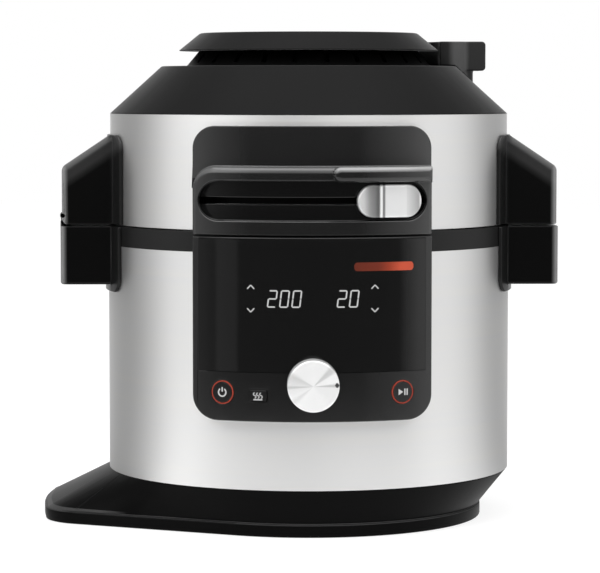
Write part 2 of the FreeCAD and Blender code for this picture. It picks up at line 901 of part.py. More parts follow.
def control_board():
    back = "board_sheet - board_face"
    name(block("-board_half", "board_half", "-board_face", back, "board_low", "board_high"), "control_board")


def board_standoffs():
    inner_wall = cylinder("wall_radius - wall_sheet", "wall_low", "collar_low")
    posts = []
    for x in ("standoff_radius * 2 - board_half", "board_half - standoff_radius * 2"):
        for z in ("board_low + standoff_radius * 2", "board_high - standoff_radius * 2"):
            post = front_cylinder("standoff_radius", "board_face", "wall_radius", x, z)
            posts.append(common(post, inner_wall))
    name(group(*posts), "board_standoffs")


def power_board():
    low = "power_board_low"
    high = "(power_board_low + board_sheet)"

    def part(side, half, tall):
        """A square component on the board's front edge."""
        middle = f"{side} * component_offset"
        return block(f"{middle} - {half}", f"{middle} + {half}", f"-component_offset - {half}",
                     f"{half} - component_offset", low, f"{high} + {tall}")

    plate = block("-power_board_half", "power_board_half", "-power_board_half", "power_board_half", low, high)
    transformer = part(LEFT, "transformer_half", "transformer_tall")
    relay = part(RIGHT, "relay_half", "relay_tall")
    capacitor = cylinder("capacitor_radius", low, f"{high} + capacitor_tall", "component_offset",
                         "component_offset")
    name(join(plate, transformer, relay, capacitor), "power_board")


VENTS = 5


def rear_cover():
    shell = common(ring("cover_radius", "wall_radius", "rear_low", "rear_high"),
                   block(f"-{FAR}", FAR, "cover_start", FAR, "rear_low - overlap", "rear_high + overlap"))
    tools = []
    for side in (LEFT, RIGHT):
        tools.append(block(*span(side, "wall_radius / 2", FAR), "0", "flange_half + rear_room",
                           "flange_low - rear_room", "rear_high + overlap"))
    for index in range(VENTS):
        low = f"vent_low + {index} * vent_pitch"
        tools.append(block("-vent_half", "vent_half", "pot_radius", FAR, low, f"{low} + vent_tall"))
    tools.append(front_cylinder("inlet_bore", f"-{FAR}", "-pot_radius", "inlet_x", "inlet_z"))
    name(cut(shell, *tools), "rear_cover")


def power_inlet():
    boss = front_cylinder("inlet_radius", "-inlet_reach", "-pot_radius", "inlet_x", "inlet_z")
    inside = cylinder("cover_radius", "wall_low", "collar_low")
    bore = front_cylinder("inlet_bore", f"-{FAR}", "-pot_radius", "inlet_x", "inlet_z")
    name(cut(boss, inside, bore), "power_inlet")


def collector_bracket():
    half = "(tray_half + running_gap)"
    floor = "(tray_low - running_gap)"
    outside = block(f"-{half} - tray_rail", f"{half} + tray_rail", "pot_radius", "tray_reach - 2 * tray_rail",
                    f"{floor} - tray_rail", "tray_low + tray_tall / 2")
    inside = block(f"-{half}", half, "pot_radius - overlap", FAR, floor, "tray_low + tray_tall")
    name(cut(outside, inside, cylinder("cover_radius", "wall_low", "collar_low")), "collector_bracket")


def condensation_collector():
    high = "tray_low + tray_tall"
    outside = block("-tray_half", "tray_half", "tray_front", "tray_reach", "tray_low", high)
    inside = block("tray_wall - tray_half", "tray_half - tray_wall", "tray_front + tray_wall",
                   "tray_reach - tray_wall", "tray_low + tray_wall", f"{high} + overlap")
    name(cut(outside, inside), "condensation_collector")


LID_INSIDE = "(lid_radius - wall_sheet)"


def lid_wall():
    wall = ring("lid_radius", LID_INSIDE, LID_LOW, "lid_high")
    name(cut(wall, slider_window()), "lid_wall")


def slider_window():
    return block("-window_half", "window_half", f"-{FAR}", "-pot_radius",
                 "knob_z - window_half_tall", "knob_z + window_half_tall")


def lid_bezel():
    name(ring(LID_INSIDE, "bezel_inner", LID_LOW, "bezel_high"), "lid_bezel")


def pipe_hole():
    return cylinder("pipe_radius", "bowl_flange_low", "cone_high + overlap", "pipe_x", "pipe_y")


def float_hole():
    return cylinder("float_radius + shaft_gap", "float_low", "cone_high + overlap", "float_x", "float_y")


def lid_top_shell():
    skirt = "lid_high - cone_skirt"
    inner = "cone_low_radius - shell"
    body = turned(((LID_INSIDE, skirt), (LID_INSIDE, "lid_high"), ("cone_low_radius", "lid_high"),
                   ("cone_top_radius", "cone_high"), ("shell_hole", "cone_high"),
                   ("shell_hole", "cone_high - shell"), ("cone_top_radius - shell / 2", "cone_high - shell"),
                   (inner, "lid_high - shell / 2"), (inner, skirt)))
    name(cut(body, pipe_hole(), float_hole()), "lid_top_shell")


NECK_VENTS = 24


def vent_neck():
    inside = "neck_high_radius - neck_wall"
    body = turned((("neck_low_radius", "cone_high"), ("neck_high_radius", "neck_high"), (inside, "neck_high"),
                   (inside, "cone_high")))
    slots = []
    for index in range(NECK_VENTS):
        slot = block("neck_high_radius / 2", "neck_low_radius + overlap", "-slot_width / 2", "slot_width / 2",
                     "cone_high + shell", "neck_high - shell")
        slots.append(turn(slot, (index + 0.5) * FULL_TURN / NECK_VENTS))
    name(cut(body, *slots), "vent_neck")


def top_cap():
    inside = "neck_high_radius - neck_wall"
    ceiling = "cap_high - cap_wall"
    name(turned((("0", "cap_high"), ("cap_high_radius", "cap_high"), ("cap_low_radius", "neck_high"),
                 (inside, "neck_high"), (inside, ceiling), ("0", ceiling))), "top_cap")


def lid_plate():
    plate = ring(LID_INSIDE, "bowl_radius", "plate_low", "plate_low + plate_sheet")
    name(cut(plate, pipe_hole(), float_hole()), "lid_plate")


def lid_inner_bowl():
    low = "bowl_flange_low"
    flange_high = "bowl_flange_low + bowl_flange_sheet"
    inside = "bowl_radius - bowl_sheet"
    ceiling = "bowl_high - bowl_sheet"
    hole = "shaft_radius + seam_gap"
    body = turned(((hole, "bowl_high"), ("bowl_radius", "bowl_high"), ("bowl_radius", flange_high),
                   ("bowl_flange", flange_high), ("bowl_flange", low), (inside, low), (inside, ceiling),
                   (hole, ceiling)))
    steam = cylinder("pipe_bore", f"{low} - overlap", f"{flange_high} + overlap", "pipe_x", "pipe_y")
    name(cut(body, steam), "lid_inner_bowl")


def seal_ring():
    name(ring("bowl_flange", "seal_inner", "pot_rim_low + pot_rim_sheet + running_gap", "bowl_flange_low"),
         "seal_ring")


def steam_pipe():
    low = "bowl_flange_low + bowl_flange_sheet"
    tube = cylinder("pipe_radius", low, "pipe_high", "pipe_x", "pipe_y")
    bore = cylinder("pipe_bore", f"{low} - overlap", "pipe_high + overlap", "pipe_x", "pipe_y")
    name(cut(tube, bore), "steam_pipe")


def filter_cap():
    low = "bowl_flange_low - filter_drop"
    cap = cylinder("filter_radius", low, "bowl_flange_low", "pipe_x", "pipe_y")
    bore = cylinder("pipe_bore", f"{low} + overlap", "bowl_flange_low + overlap", "pipe_x", "pipe_y")
    name(cut(cap, bore), "filter_cap")


GUARD_SPOKES = 8
GUARD_RINGS = 3


def element_guard():
    outer = "(bowl_radius - bowl_sheet)"
    high = "guard_low + guard_sheet"
    parts = [ring(outer, f"{outer} - 2 * guard_sheet", "guard_low", high)]
    for index in range(GUARD_RINGS):
        radius = f"{outer} * {index + 1} / {GUARD_RINGS + 1}"
        parts.append(ring(radius, f"{radius} - guard_sheet", "guard_low", high))
    for index in range(GUARD_SPOKES):
        bar = block("0", f"{outer} - guard_sheet", "-guard_sheet / 2", "guard_sheet / 2", "guard_low", high)
        parts.append(turn(bar, index * FULL_TURN / GUARD_SPOKES))
    name(join(*parts), "element_guard")


ELEMENT_POSTS = 3


def heating_element():
    parts = [torus(radius, "element_radius", "element_z") for radius in ("element_inner", "element_outer")]
    for index in range(ELEMENT_POSTS):
        angle = index * FULL_TURN / ELEMENT_POSTS
        bar = block("element_inner", "element_outer", "-element_radius / 2", "element_radius / 2",
                    "element_z - element_radius / 2", "element_z + element_radius / 2")
        post = cylinder("element_radius / 2", "element_z", "bowl_high - bowl_sheet",
                        "(element_inner + element_outer) / 2", "0")
        parts.append(turn(join(bar, post), angle))
    name(join(*parts), "heating_element")


BLADES = 7


def fan(label, radius, low, tall):
    """A bladed wheel with a backing disc and a hub that fits the motor's shaft."""
    high = f"{low} + {tall}"
    parts = [cylinder("hub_radius", low, high), cylinder(radius, f"{high} - blade_sheet", high)]
    for index in range(BLADES):
        tip = f"{radius} - 2 * blade_sheet"
        blade = block("hub_radius / 2", tip, "-blade_sheet / 2", "blade_sheet / 2", low, high)
        parts.append(turn(blade, index * FULL_TURN / BLADES))
    bore = cylinder("shaft_radius", f"{low} - overlap", f"{high} + overlap")
    name(cut(join(*parts), bore), label)


MOTOR_LOW = "(bowl_high + bracket_plate)"


def motor_bracket():
    half = "bracket_half"
    plate = block(f"-{half}", half, f"-{half} / 2", f"{half} / 2", "bowl_high", MOTOR_LOW)
    bore = cylinder("shaft_radius + seam_gap", "bowl_high - overlap", f"{MOTOR_LOW} + overlap")
    name(cut(plate, bore), "motor_bracket")


def fan_motor():
    high = f"{MOTOR_LOW} + motor_tall"
    name(ring("motor_radius", "shaft_radius + shaft_gap", MOTOR_LOW, high), "fan_motor")


def motor_shaft():
    name(cylinder("shaft_radius", "shaft_low", "cooler_low + cooler_tall"), "motor_shaft")


def channel_house():
    """The raised lower part of the lid's panel, with a soft upper edge."""
    corner = [("-panel_half", "channel_house_high", "channel_house_corner")]
    plate = face_plate("-panel_half", "panel_half", "lid_panel_low", "channel_house_high", corner)
    house = curved_plate("panel_radius", "lid_radius", "lid_panel_low", "channel_house_high", plate)
    top = size("channel_house_high - overlap")

    def is_upper(edge):
        return on_round(edge, "panel_radius") and edge.BoundBox.ZMax > top

    return rounded(house, "house_round", is_upper)


def grip_lip():
    """The lip over the slider's end that a thumb presses against."""
    end_round = "(channel_house_high - lip_low) / 2 - round_room"
    ends = [("lip_left", z, end_round) for z in ("lip_low", "channel_house_high")]
    plate = face_plate("lip_left", "panel_half", "lip_low", "channel_house_high", ends)
    lip = curved_plate("lip_radius", "panel_radius - house_round", "lip_low", "channel_house_high", plate)
    return rounded(lip, "lip_round", lambda edge: on_round(edge, "lip_radius"))


def lid_front_panel():
    corners = [(x, "lid_panel_high", "lid_panel_corner") for x in ("-panel_half", "panel_half")]
    plate = face_plate("-panel_half", "panel_half", "lid_panel_low", "lid_panel_high", corners)
    face = curved_plate("lid_panel_radius", "lid_radius", "lid_panel_low", "lid_panel_high", plate)
    channel_round = "(channel_high - channel_low) / 2 - round_room"
    channel_ends = all_corners("-channel_half", "channel_half", "channel_low", "channel_high", channel_round)
    opening = face_plate("-channel_half", "channel_half", "channel_low", "channel_high", channel_ends)
    channel = curved_plate("lip_radius", "channel_floor", "channel_low", "channel_high", opening)
    rim_room = cylinder("wall_radius + seam_gap", "collar_low", LID_LOW)
    body = cut(join(face, channel_house()), channel, slider_window(), rim_room)
    name(join(body, grip_lip()), "lid_front_panel")


def lock_ring():
    wall_low = f"({LID_LOW} + 2 * seam_gap)"
    flange_high = "(lock_flange_low + lock_flange_sheet)"
    parts = [ring("hook_outer", "lock_inner", wall_low, "lock_high"),
             ring("lock_flange", "lock_inner", "lock_flange_low", flange_high)]
    for index in range(LUGS):
        middle = f"{index * FULL_TURN / LUGS} + hook_offset"
        for outer, low, high in (("hook_outer", "hook_low", "hook_low + hook_sheet"),
                                 ("leg_outer", "hook_low", flange_high),
                                 ("hook_outer", wall_low, flange_high)):
            parts.append(sector(outer, "hook_inner", low, high, "hook_angle", middle))
    arm = turn(block("-arm_half", "arm_half", "-knob_radius", "-(lock_inner + 1)", "knob_z - arm_half_tall",
                     "knob_z + arm_half_tall"), "knob_angle")
    parts.append(common(arm, cylinder("knob_inner", LID_LOW, "lid_high")))
    name(join(*parts), "lock_ring")


def slider_knob():
    low = "knob_z - knob_half_tall"
    high = "knob_z + knob_half_tall"
    ends = all_corners("-knob_half", "knob_half", low, high, "knob_half_tall - round_room")
    outline = face_plate("-knob_half", "knob_half", low, high, ends)
    pill = curved_plate("knob_radius", "knob_inner", low, high, outline)
    strip = face_plate("-ridge_offset - ridge_half", "ridge_half - ridge_offset", low, high, ())
    ridge = curved_plate("knob_radius + ridge_proud", "knob_inner", f"{low} + ridge_proud",
                         f"{high} - ridge_proud", strip)
    name(turn(join(pill, ridge), "knob_angle"), "slider_knob")


def release_valve():
    plan = (("valve_left", "valve_front"), ("valve_right", "valve_front"), ("valve_right", "valve_rear"),
            ("valve_left", "valve_rear"))
    front_corner = [("valve_round", lambda edge: along(edge, 2) and at(edge, 0, "valve_right"))]
    pillar = padded("XY_Plane", plan, "valve_low", "valve_high", front_corner)
    root = "valve_left + valve_round"
    tip_points = ((root, "tip_low"), ("tip_reach", "tip_low"), ("tip_reach", "valve_high"),
                  (root, "valve_high"))
    tip = padded("XZ_Plane", tip_points, "tip_front", "tip_rear",
                 [("tip_round", lambda edge: along(edge, 1) and at(edge, 0, "tip_reach"))])
    cone_top = "cone_high + running_gap * 2"
    lid_space = turned((("0", "lid_high"), ("cone_low_radius", "lid_high"),
                        ("cone_low_radius", "lid_high + running_gap * 2"), ("cone_top_radius", cone_top),
                        ("0", cone_top)))
    cap_space = cylinder("cap_low_radius + seam_gap", "lid_high", "cap_high")
    bore = cylinder("pipe_radius + shaft_gap", "lid_high", "pipe_high + running_gap", "pipe_x", "pipe_y")
    name(cut(join(pillar, tip), lid_space, cap_space, bore), "release_valve")


def float_valve():
    stem = cylinder("float_radius", "float_low", "float_high", "float_x", "float_y")
    head = cylinder("float_head", "float_low", "float_low + shell", "float_x", "float_y")
    name(join(stem, head), "float_valve")


def build():
    base_foot()
    rubber_feet()
    bottom_cover()
    bottom_screws()
    outer_wall()
    rim_collar()
    lock_flange()
    inner_liner()
    cooking_pot()
    heater_plate()
    heater_posts()
    temperature_sensor()
    sensor_bracket()
    left_handle_base()
    right_handle_base()
    hinge_pin()
    control_panel()
    display_lens()
    for label, side in BUTTON_SIDES.items():
        round_button(label, side)
    button_rings()
    keep_warm_key()
    control_dial()
    dial_encoder()
    control_board()
    board_standoffs()
    power_board()
    rear_cover()
    power_inlet()
    collector_bracket()
    condensation_collector()
    lid_wall()
    lid_bezel()
    lid_top_shell()
    vent_neck()
    top_cap()
    lid_plate()
    lid_inner_bowl()
    seal_ring()
    steam_pipe()
    filter_cap()
    element_guard()
    heating_element()
    fan("convection_fan", "fan_radius", "fan_low", "fan_tall")
    fan("cooling_fan", "cooler_radius", "cooler_low", "cooler_tall")
    motor_bracket()
    fan_motor()
    motor_shaft()
    left_handle_lid()
    right_handle_lid()
    lid_front_panel()
    lock_ring()
    slider_knob()
    release_valve()
    float_valve()


def check():
    for item in doc.Objects:
        if "Invalid" in item.State or "Error" in item.State:
            raise RuntimeError(f"{item.Name} did not build: {item.State}")
    for item in pieces:
        if item.Shape.isNull() or not item.Shape.isValid():
            raise RuntimeError(f"{item.Label} has no sound shape")


build()
doc.recompute()
check()
os.makedirs("parts", exist_ok=True)
for piece in pieces:
    piece.Shape.exportStep(f"parts/{piece.Label}.step")
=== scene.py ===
import json
import math

import bmesh
import bpy
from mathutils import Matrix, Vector


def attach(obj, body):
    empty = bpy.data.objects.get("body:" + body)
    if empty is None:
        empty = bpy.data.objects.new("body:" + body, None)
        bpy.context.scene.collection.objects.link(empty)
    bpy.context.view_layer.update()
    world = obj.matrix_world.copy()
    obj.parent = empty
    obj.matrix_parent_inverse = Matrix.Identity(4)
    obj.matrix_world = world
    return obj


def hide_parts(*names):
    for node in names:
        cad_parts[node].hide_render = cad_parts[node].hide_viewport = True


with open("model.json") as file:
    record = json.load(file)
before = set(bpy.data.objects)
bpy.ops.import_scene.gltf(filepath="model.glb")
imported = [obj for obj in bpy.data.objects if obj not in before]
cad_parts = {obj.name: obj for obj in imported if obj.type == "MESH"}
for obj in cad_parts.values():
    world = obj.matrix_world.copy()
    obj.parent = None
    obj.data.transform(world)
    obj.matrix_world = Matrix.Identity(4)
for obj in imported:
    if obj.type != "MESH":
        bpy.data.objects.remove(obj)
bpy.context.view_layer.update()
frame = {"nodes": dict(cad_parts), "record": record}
NODES = frame["nodes"]
MM = 0.001

# The view: a long lens that looks slightly down on the front.
IMAGE_WIDTH = 600
FOCAL_PIXELS = 2845
SENSOR_WIDTH = 36
EYE_HEIGHT = 0.338
EYE_DISTANCE = 2.26
EYE_SIDE = -0.045
PITCH_DOWN = math.radians(4.02)
YAW_RIGHT = math.radians(0.969)
SIGHT_END = 50


def make_camera():
    data = bpy.data.cameras.new("camera")
    data.sensor_fit = "HORIZONTAL"
    data.sensor_width = SENSOR_WIDTH
    data.lens = FOCAL_PIXELS / IMAGE_WIDTH * SENSOR_WIDTH
    data.clip_end = SIGHT_END
    camera = bpy.data.objects.new("camera", data)
    camera.location = (EYE_SIDE, -EYE_DISTANCE, EYE_HEIGHT)
    camera.rotation_euler = (math.pi / 2 - PITCH_DOWN, 0, -YAW_RIGHT)
    bpy.context.scene.collection.objects.link(camera)
    bpy.context.scene.camera = camera


# The fine grain of moulded plastic: how many grains in a metre, and how deep in metres.
GRAIN_SCALE = 2200
GRAIN_DEPTH = 0.0002


class Shader:
    """A material's node tree with short calls for the nodes that the finishes need."""

    def __init__(self, name, colour, metallic=0.0, roughness=0.5, specular=0.5):
        self.material = bpy.data.materials.new(name)
        self.material.use_nodes = True
        self.tree = self.material.node_tree
        self.surface = self.tree.nodes["Principled BSDF"]
        self.set("Base Color", (*colour, 1))
        self.set("Metallic", metallic)
        self.set("Roughness", roughness)
        self.set("Specular IOR Level", specular)
        self.place = self.add("ShaderNodeTexCoord").outputs["Object"]

    def add(self, kind, **values):
        node = self.tree.nodes.new(kind)
        for key, value in values.items():
            setattr(node, key, value)
        return node

    def link(self, source, target):
        self.tree.links.new(source, target)

    def set(self, socket, value):
        self.surface.inputs[socket].default_value = value

    def math(self, operation, *values):
        """A sum over sockets and plain numbers."""
        node = self.add("ShaderNodeMath", operation=operation)
        for value, socket in zip(values, node.inputs):
            if isinstance(value, bpy.types.NodeSocket):
                self.link(value, socket)
            else:
                socket.default_value = value
        return node.outputs[0]

    def axes(self):
        node = self.add("ShaderNodeSeparateXYZ")
        self.link(self.place, node.inputs[0])
        return node.outputs

    def facing(self):
        """The way the surface faces, along the piece's own axes."""
        node = self.add("ShaderNodeSeparateXYZ")
        self.link(self.add("ShaderNodeTexCoord").outputs["Normal"], node.inputs[0])
        return node.outputs

    def turned_front(self, faces):
        """1 where the surface looks to the front, 0 where it looks aside or back."""
        return self.ramp(self.math("MULTIPLY", faces["Y"], -1), [(0.03, 0.0), (0.15, 1.0)])

    def distance(self, first, second):
        """How far a point lies from an axis, from its two places across that axis."""
        squares = [self.math("MULTIPLY", value, value) for value in (first, second)]
        return self.math("SQRT", self.math("ADD", *squares))

    def stretched(self, scale):
        node = self.add("ShaderNodeMapping")
        node.inputs["Scale"].default_value = scale
        self.link(self.place, node.inputs["Vector"])
        return node.outputs["Vector"]

    def noise(self, scale, detail=3.0, vector=None):
        node = self.add("ShaderNodeTexNoise")
        node.inputs["Scale"].default_value = scale
        node.inputs["Detail"].default_value = detail
        self.link(vector or self.place, node.inputs["Vector"])
        return node.outputs["Fac"]

    def ramp(self, value, stops):
        """A colour ramp; stops are (position, grey or colour)."""
        node = self.add("ShaderNodeValToRGB")
        elements = node.color_ramp.elements
        while len(elements) < len(stops):
            elements.new(0.5)
        for element, (position, colour) in zip(elements, stops):
            element.position = position
            element.color = (*colour, 1) if isinstance(colour, tuple) else (colour, colour, colour, 1)
        self.link(value, node.inputs["Fac"])
        return node.outputs["Color"]

    def vary(self, socket, value, stops):
        self.link(self.ramp(value, stops), self.surface.inputs[socket])

    def bump(self, height, strength, distance):
        node = self.add("ShaderNodeBump")
        node.inputs["Strength"].default_value = strength
        node.inputs["Distance"].default_value = distance
        self.link(height, node.inputs["Height"])
        self.link(node.outputs["Normal"], self.surface.inputs["Normal"])

    def grain(self, strength, scale=GRAIN_SCALE):
        """The fine grain of a moulded surface."""
        self.bump(self.noise(scale, 2), strength, GRAIN_DEPTH)

    def spun(self, axis, amount):
        """Brushing that runs round an axis through the middle of the piece."""
        tangent = self.add("ShaderNodeTangent", direction_type="RADIAL", axis=axis)
        self.link(tangent.outputs["Tangent"], self.surface.inputs["Tangent"])
        self.set("Anisotropic", amount)

    def glow(self, colour, strength=1.0):
        """Lights the surface evenly instead of shading it."""
        node = self.add("ShaderNodeEmission")
        node.inputs["Strength"].default_value = strength
        self.link(colour, node.inputs["Color"])
        return node.outputs[0]

    def finish_with(self, shader_socket):
        self.link(shader_socket, self.tree.nodes["Material Output"].inputs["Surface"])

    def seen_rays(self):
        """1 for rays from the camera and in mirrors or glass, 0 for the light that bounces about."""
        return seen_rays(self.tree)


def seen_rays(tree):
    path = tree.nodes.new("ShaderNodeLightPath")
    total = path.outputs["Is Camera Ray"]
    for kind in ("Is Glossy Ray", "Is Transmission Ray"):
        either = tree.nodes.new("ShaderNodeMath")
        either.operation = "MAXIMUM"
        tree.links.new(total, either.inputs[0])
        tree.links.new(path.outputs[kind], either.inputs[1])
        total = either.outputs[0]
    return total


# Places on the object that its finishes follow, in metres.
LENS_WIDTH = 0.169
PANEL_WIDTH = 0.179
# The release valve, from beside the cap to its round corner, painted shade then a painted highlight: (metres
# in X, grey).
VALVE_REACH = 0.141
VALVE_SHADE_AND_HIGHLIGHT_TONES = ((0.102, 0.001), (0.106, 0.012), (0.1115, 0.018), (0.1165, 0.08), (0.126, 0.075),
               (0.129, 0.025))
# The foot's rim: the height of its upper edge, and how far the painted highlight reaches from it.
RIM_TOP = 0.0104
RIM_REACH = 0.002
# The grips: their reach, the line of their slope, and the depth of the painted sheen band below it.
GRIP_REACH = 0.1944
GRIP_SLOPE = 0.66
GRIP_TOP = 0.4035
GRIP_SHEEN_DEPTH = 0.022
# What that painted sheen band adds: (share of its depth from below, grey).
SLOPE_SHEEN_TONES = ((0.12, 0.0), (0.28, 0.009), (0.45, 0.023))
# Shares of the grips' reach: where the plate on the wall ends and where the grip proper begins.
PLATE_END = 0.79
GRIP_ROOT = 0.8
# The slider's channel in the lid's panel: its heights, and the radii of its floor and of the lip's root.
CHANNEL_TOP = 0.27
CHANNEL_MIDDLE = 0.2537
CHANNEL_DEEP = 0.1635
HOUSE_TOP = 0.2795
LIP_ROOT = 0.1685
# The lit mode bar: (millimetres in X, colour).
MODE_REACH = 0.08
MODE_TONES = ((32, (0.115, 0.02, 0.01)), (50, (0.15, 0.024, 0.012)), (58, (0.27, 0.038, 0.016)),
              (66, (0.5, 0.078, 0.038)))
# The dial: the height of its middle in millimetres, the pitch of its turned rings, and its grey.
DIAL_MIDDLE_Z = 118.5
DIAL_RING_PITCH = 0.0006
DIAL_GREY = 0.96


def satin_plastic(name, grey, roughness=0.4, specular=0.4, grain=GRAIN_SCALE, sheen=0.0):
    """Moulded black plastic: a fine spark-eroded grain and faint patches of polish."""
    shader = Shader(name, (grey, grey, grey), roughness=roughness, specular=specular)
    shader.set("Sheen Weight", sheen)
    shader.set("Sheen Roughness", 0.3)
    patches = shader.noise(14, 4)
    shader.vary("Roughness", patches, [(0.3, roughness - 0.04), (0.7, roughness + 0.04)])
    shader.vary("Base Color", patches, [(0.3, grey * 0.92), (0.7, grey * 1.08)])
    shader.grain(0.08, grain)
    return shader.material


def brushed_steel(name, grey, roughness=0.45):
    """Steel brushed round the body: fine streaks along the circumference."""
    shader = Shader(name, (grey, grey, grey * 0.985), 1.0, roughness)
    streaks = shader.noise(1, 2, shader.stretched((6, 6, 2600)))
    bands = shader.noise(1, 3, shader.stretched((3, 3, 160)))
    shader.vary("Roughness", streaks, [(0.25, roughness - 0.02), (0.75, roughness + 0.02)])
    shader.vary("Base Color", bands, [(0.3, (grey * 0.99,) * 3), (0.7, (grey * 1.005, grey, grey * 0.985))])
    shader.bump(streaks, 0.012, 0.0001)
    shader.spun("Z", 0.6)
    shader.set("Anisotropic Rotation", 0.25)
    return shader.material


def plain_metal(name, grey, roughness):
    """Bare sheet or cast metal with rolling marks and slight dulling."""
    shader = Shader(name, (grey, grey, grey), 1.0, roughness)
    marks = shader.noise(90, 5, shader.stretched((1, 1, 6)))
    shader.vary("Roughness", marks, [(0.3, roughness - 0.06), (0.7, roughness + 0.08)])
    shader.vary("Base Color", marks, [(0.3, grey * 0.93), (0.7, grey * 1.04)])
    shader.bump(shader.noise(700, 3), 0.05, 0.0002)
    return shader.material


def gloss_plastic(name, colour, roughness=0.08, specular=0.5):
    """Polished plastic with a trace of mould waviness and dust haze."""
    shader = Shader(name, colour, roughness=roughness, specular=specular)
    haze = shader.noise(60, 5)
    shader.vary("Roughness", haze, [(0.35, roughness), (0.75, roughness + 0.06)])
    low = tuple(part * 0.92 for part in colour)
    shader.vary("Base Color", shader.noise(25, 2), [(0.35, low), (0.65, colour)])
    shader.bump(shader.noise(18, 1), 0.02, 0.002)
    return shader.material


def rubber(name, grey):
    shader = Shader(name, (grey, grey, grey), roughness=0.75, specular=0.3)
    shader.vary("Base Color", shader.noise(80, 4), [(0.3, grey * 0.85), (0.7, grey * 1.15)])
    shader.bump(shader.noise(1500, 2), 0.25, 0.0003)
    return shader.material


def reflection_painted_plastic(name, middle, sides, width, roughness, specular):
    """Black plastic with a painted reflection: deepest in the middle of the front and paler where it bends
    away.
    """
    shader = Shader(name, (middle, middle, middle), roughness=roughness, specular=specular)
    across = shader.math("MULTIPLY_ADD", shader.axes()["X"], 1 / width, 0.5)
    uneven = shader.math("MULTIPLY_ADD", shader.noise(40, 4), 0.02, across)
    # Painted reflection: the colour pales towards the sides in X.
    shader.vary("Base Color", uneven, [(0.0, sides[0]), (0.35, middle), (0.7, middle), (1.0, sides[1])])
    shader.vary("Roughness", shader.noise(14, 4), [(0.3, roughness - 0.03), (0.7, roughness + 0.03)])
    shader.grain(0.05)
    return shader.material


def window_plastic(name, middle, side, width):
    """A smoked display window, clear black in the middle with painted reflection bands where it bends away.
    """
    shader = Shader(name, (middle, middle, middle), roughness=0.12, specular=0.5)
    across = shader.math("MULTIPLY_ADD", shader.axes()["X"], 1 / width, 0.5)
    uneven = shader.math("MULTIPLY_ADD", shader.noise(40, 4), 0.01, across)
    # Painted reflection bands near both sides of the window.
    shader.vary("Base Color", uneven, [(0.07, middle), (0.09, side), (0.165, side), (0.185, middle),
                                       (0.885, middle), (0.92, side * 1.4), (0.97, side * 2.2)])
    return shader.material


def grip_plastic(name, grey, wall_grey, edge_highlight_grey):
    """Dull moulded grips, paler on the plate that hugs the wall, with a painted sheen below the slope and
    painted reflections on the outer edges.
    """
    shader = Shader(name, (grey, grey, grey), roughness=0.3, specular=0.16)
    axes = shader.axes()
    reach = shader.math("MULTIPLY_ADD", shader.noise(30, 3), 0.002, shader.math("ABSOLUTE", axes["X"]))
    scaled = shader.math("MULTIPLY", reach, 1 / GRIP_REACH)
    plain = shader.ramp(scaled, [(PLATE_END, wall_grey), (PLATE_END + 0.015, grey)])
    rise = shader.math("MULTIPLY_ADD", reach, GRIP_SLOPE, axes["Z"])
    # Painted sheen: a paler band below the slope.
    under_slope = shader.math("MULTIPLY_ADD", rise, 1 / GRIP_SHEEN_DEPTH, 1 - GRIP_TOP / GRIP_SHEEN_DEPTH)
    plate_and_sheen = shader.math("ADD", plain, shader.ramp(under_slope, SLOPE_SHEEN_TONES))
    faces = shader.facing()
    outward = shader.math("MULTIPLY", faces["X"], shader.math("SIGN", axes["X"]))
    turned_out = shader.ramp(outward, [(0.1, 0.0), (0.35, 0.3), (0.7, 1.0)])
    on_grip = shader.ramp(scaled, [(GRIP_ROOT, 0.0), (GRIP_ROOT + 0.02, 1.0)])
    # Painted reflection: outward faces of the grips that look forward are paler.
    highlight_mask = shader.math("MULTIPLY", shader.math("MULTIPLY", turned_out, shader.turned_front(faces)), on_grip)
    shader.link(shader.math("MULTIPLY_ADD", highlight_mask, edge_highlight_grey, plate_and_sheen), shader.surface.inputs["Base Color"])
    shader.grain(0.08)
    return shader.material


def channel_highlights(shader, axes, radius, sunk, edge_highlight_grey, lip_highlight_grey):
    """Painted highlights on the edges that look up and forward: most on the lip, least below the channel."""
    faces = shader.facing()
    turned_up = shader.ramp(faces["Z"], [(0.15, 0.0), (0.6, 1.0)])
    below_face = shader.math("LESS_THAN", axes["Z"], HOUSE_TOP)
    outside = shader.math("SUBTRACT", below_face, sunk)
    # Painted highlight where the edges face up and forward.
    highlight_mask = shader.math("MULTIPLY", shader.math("MULTIPLY", turned_up, shader.turned_front(faces)), outside)
    on_lip = shader.math("GREATER_THAN", radius, LIP_ROOT)
    above = shader.math("GREATER_THAN", axes["Z"], CHANNEL_MIDDLE)
    side_highlight_grey = shader.math("MULTIPLY_ADD", above, edge_highlight_grey / 2, edge_highlight_grey / 2)
    return shader.math("MULTIPLY", highlight_mask, shader.math("MULTIPLY_ADD", on_lip, lip_highlight_grey - edge_highlight_grey, side_highlight_grey))


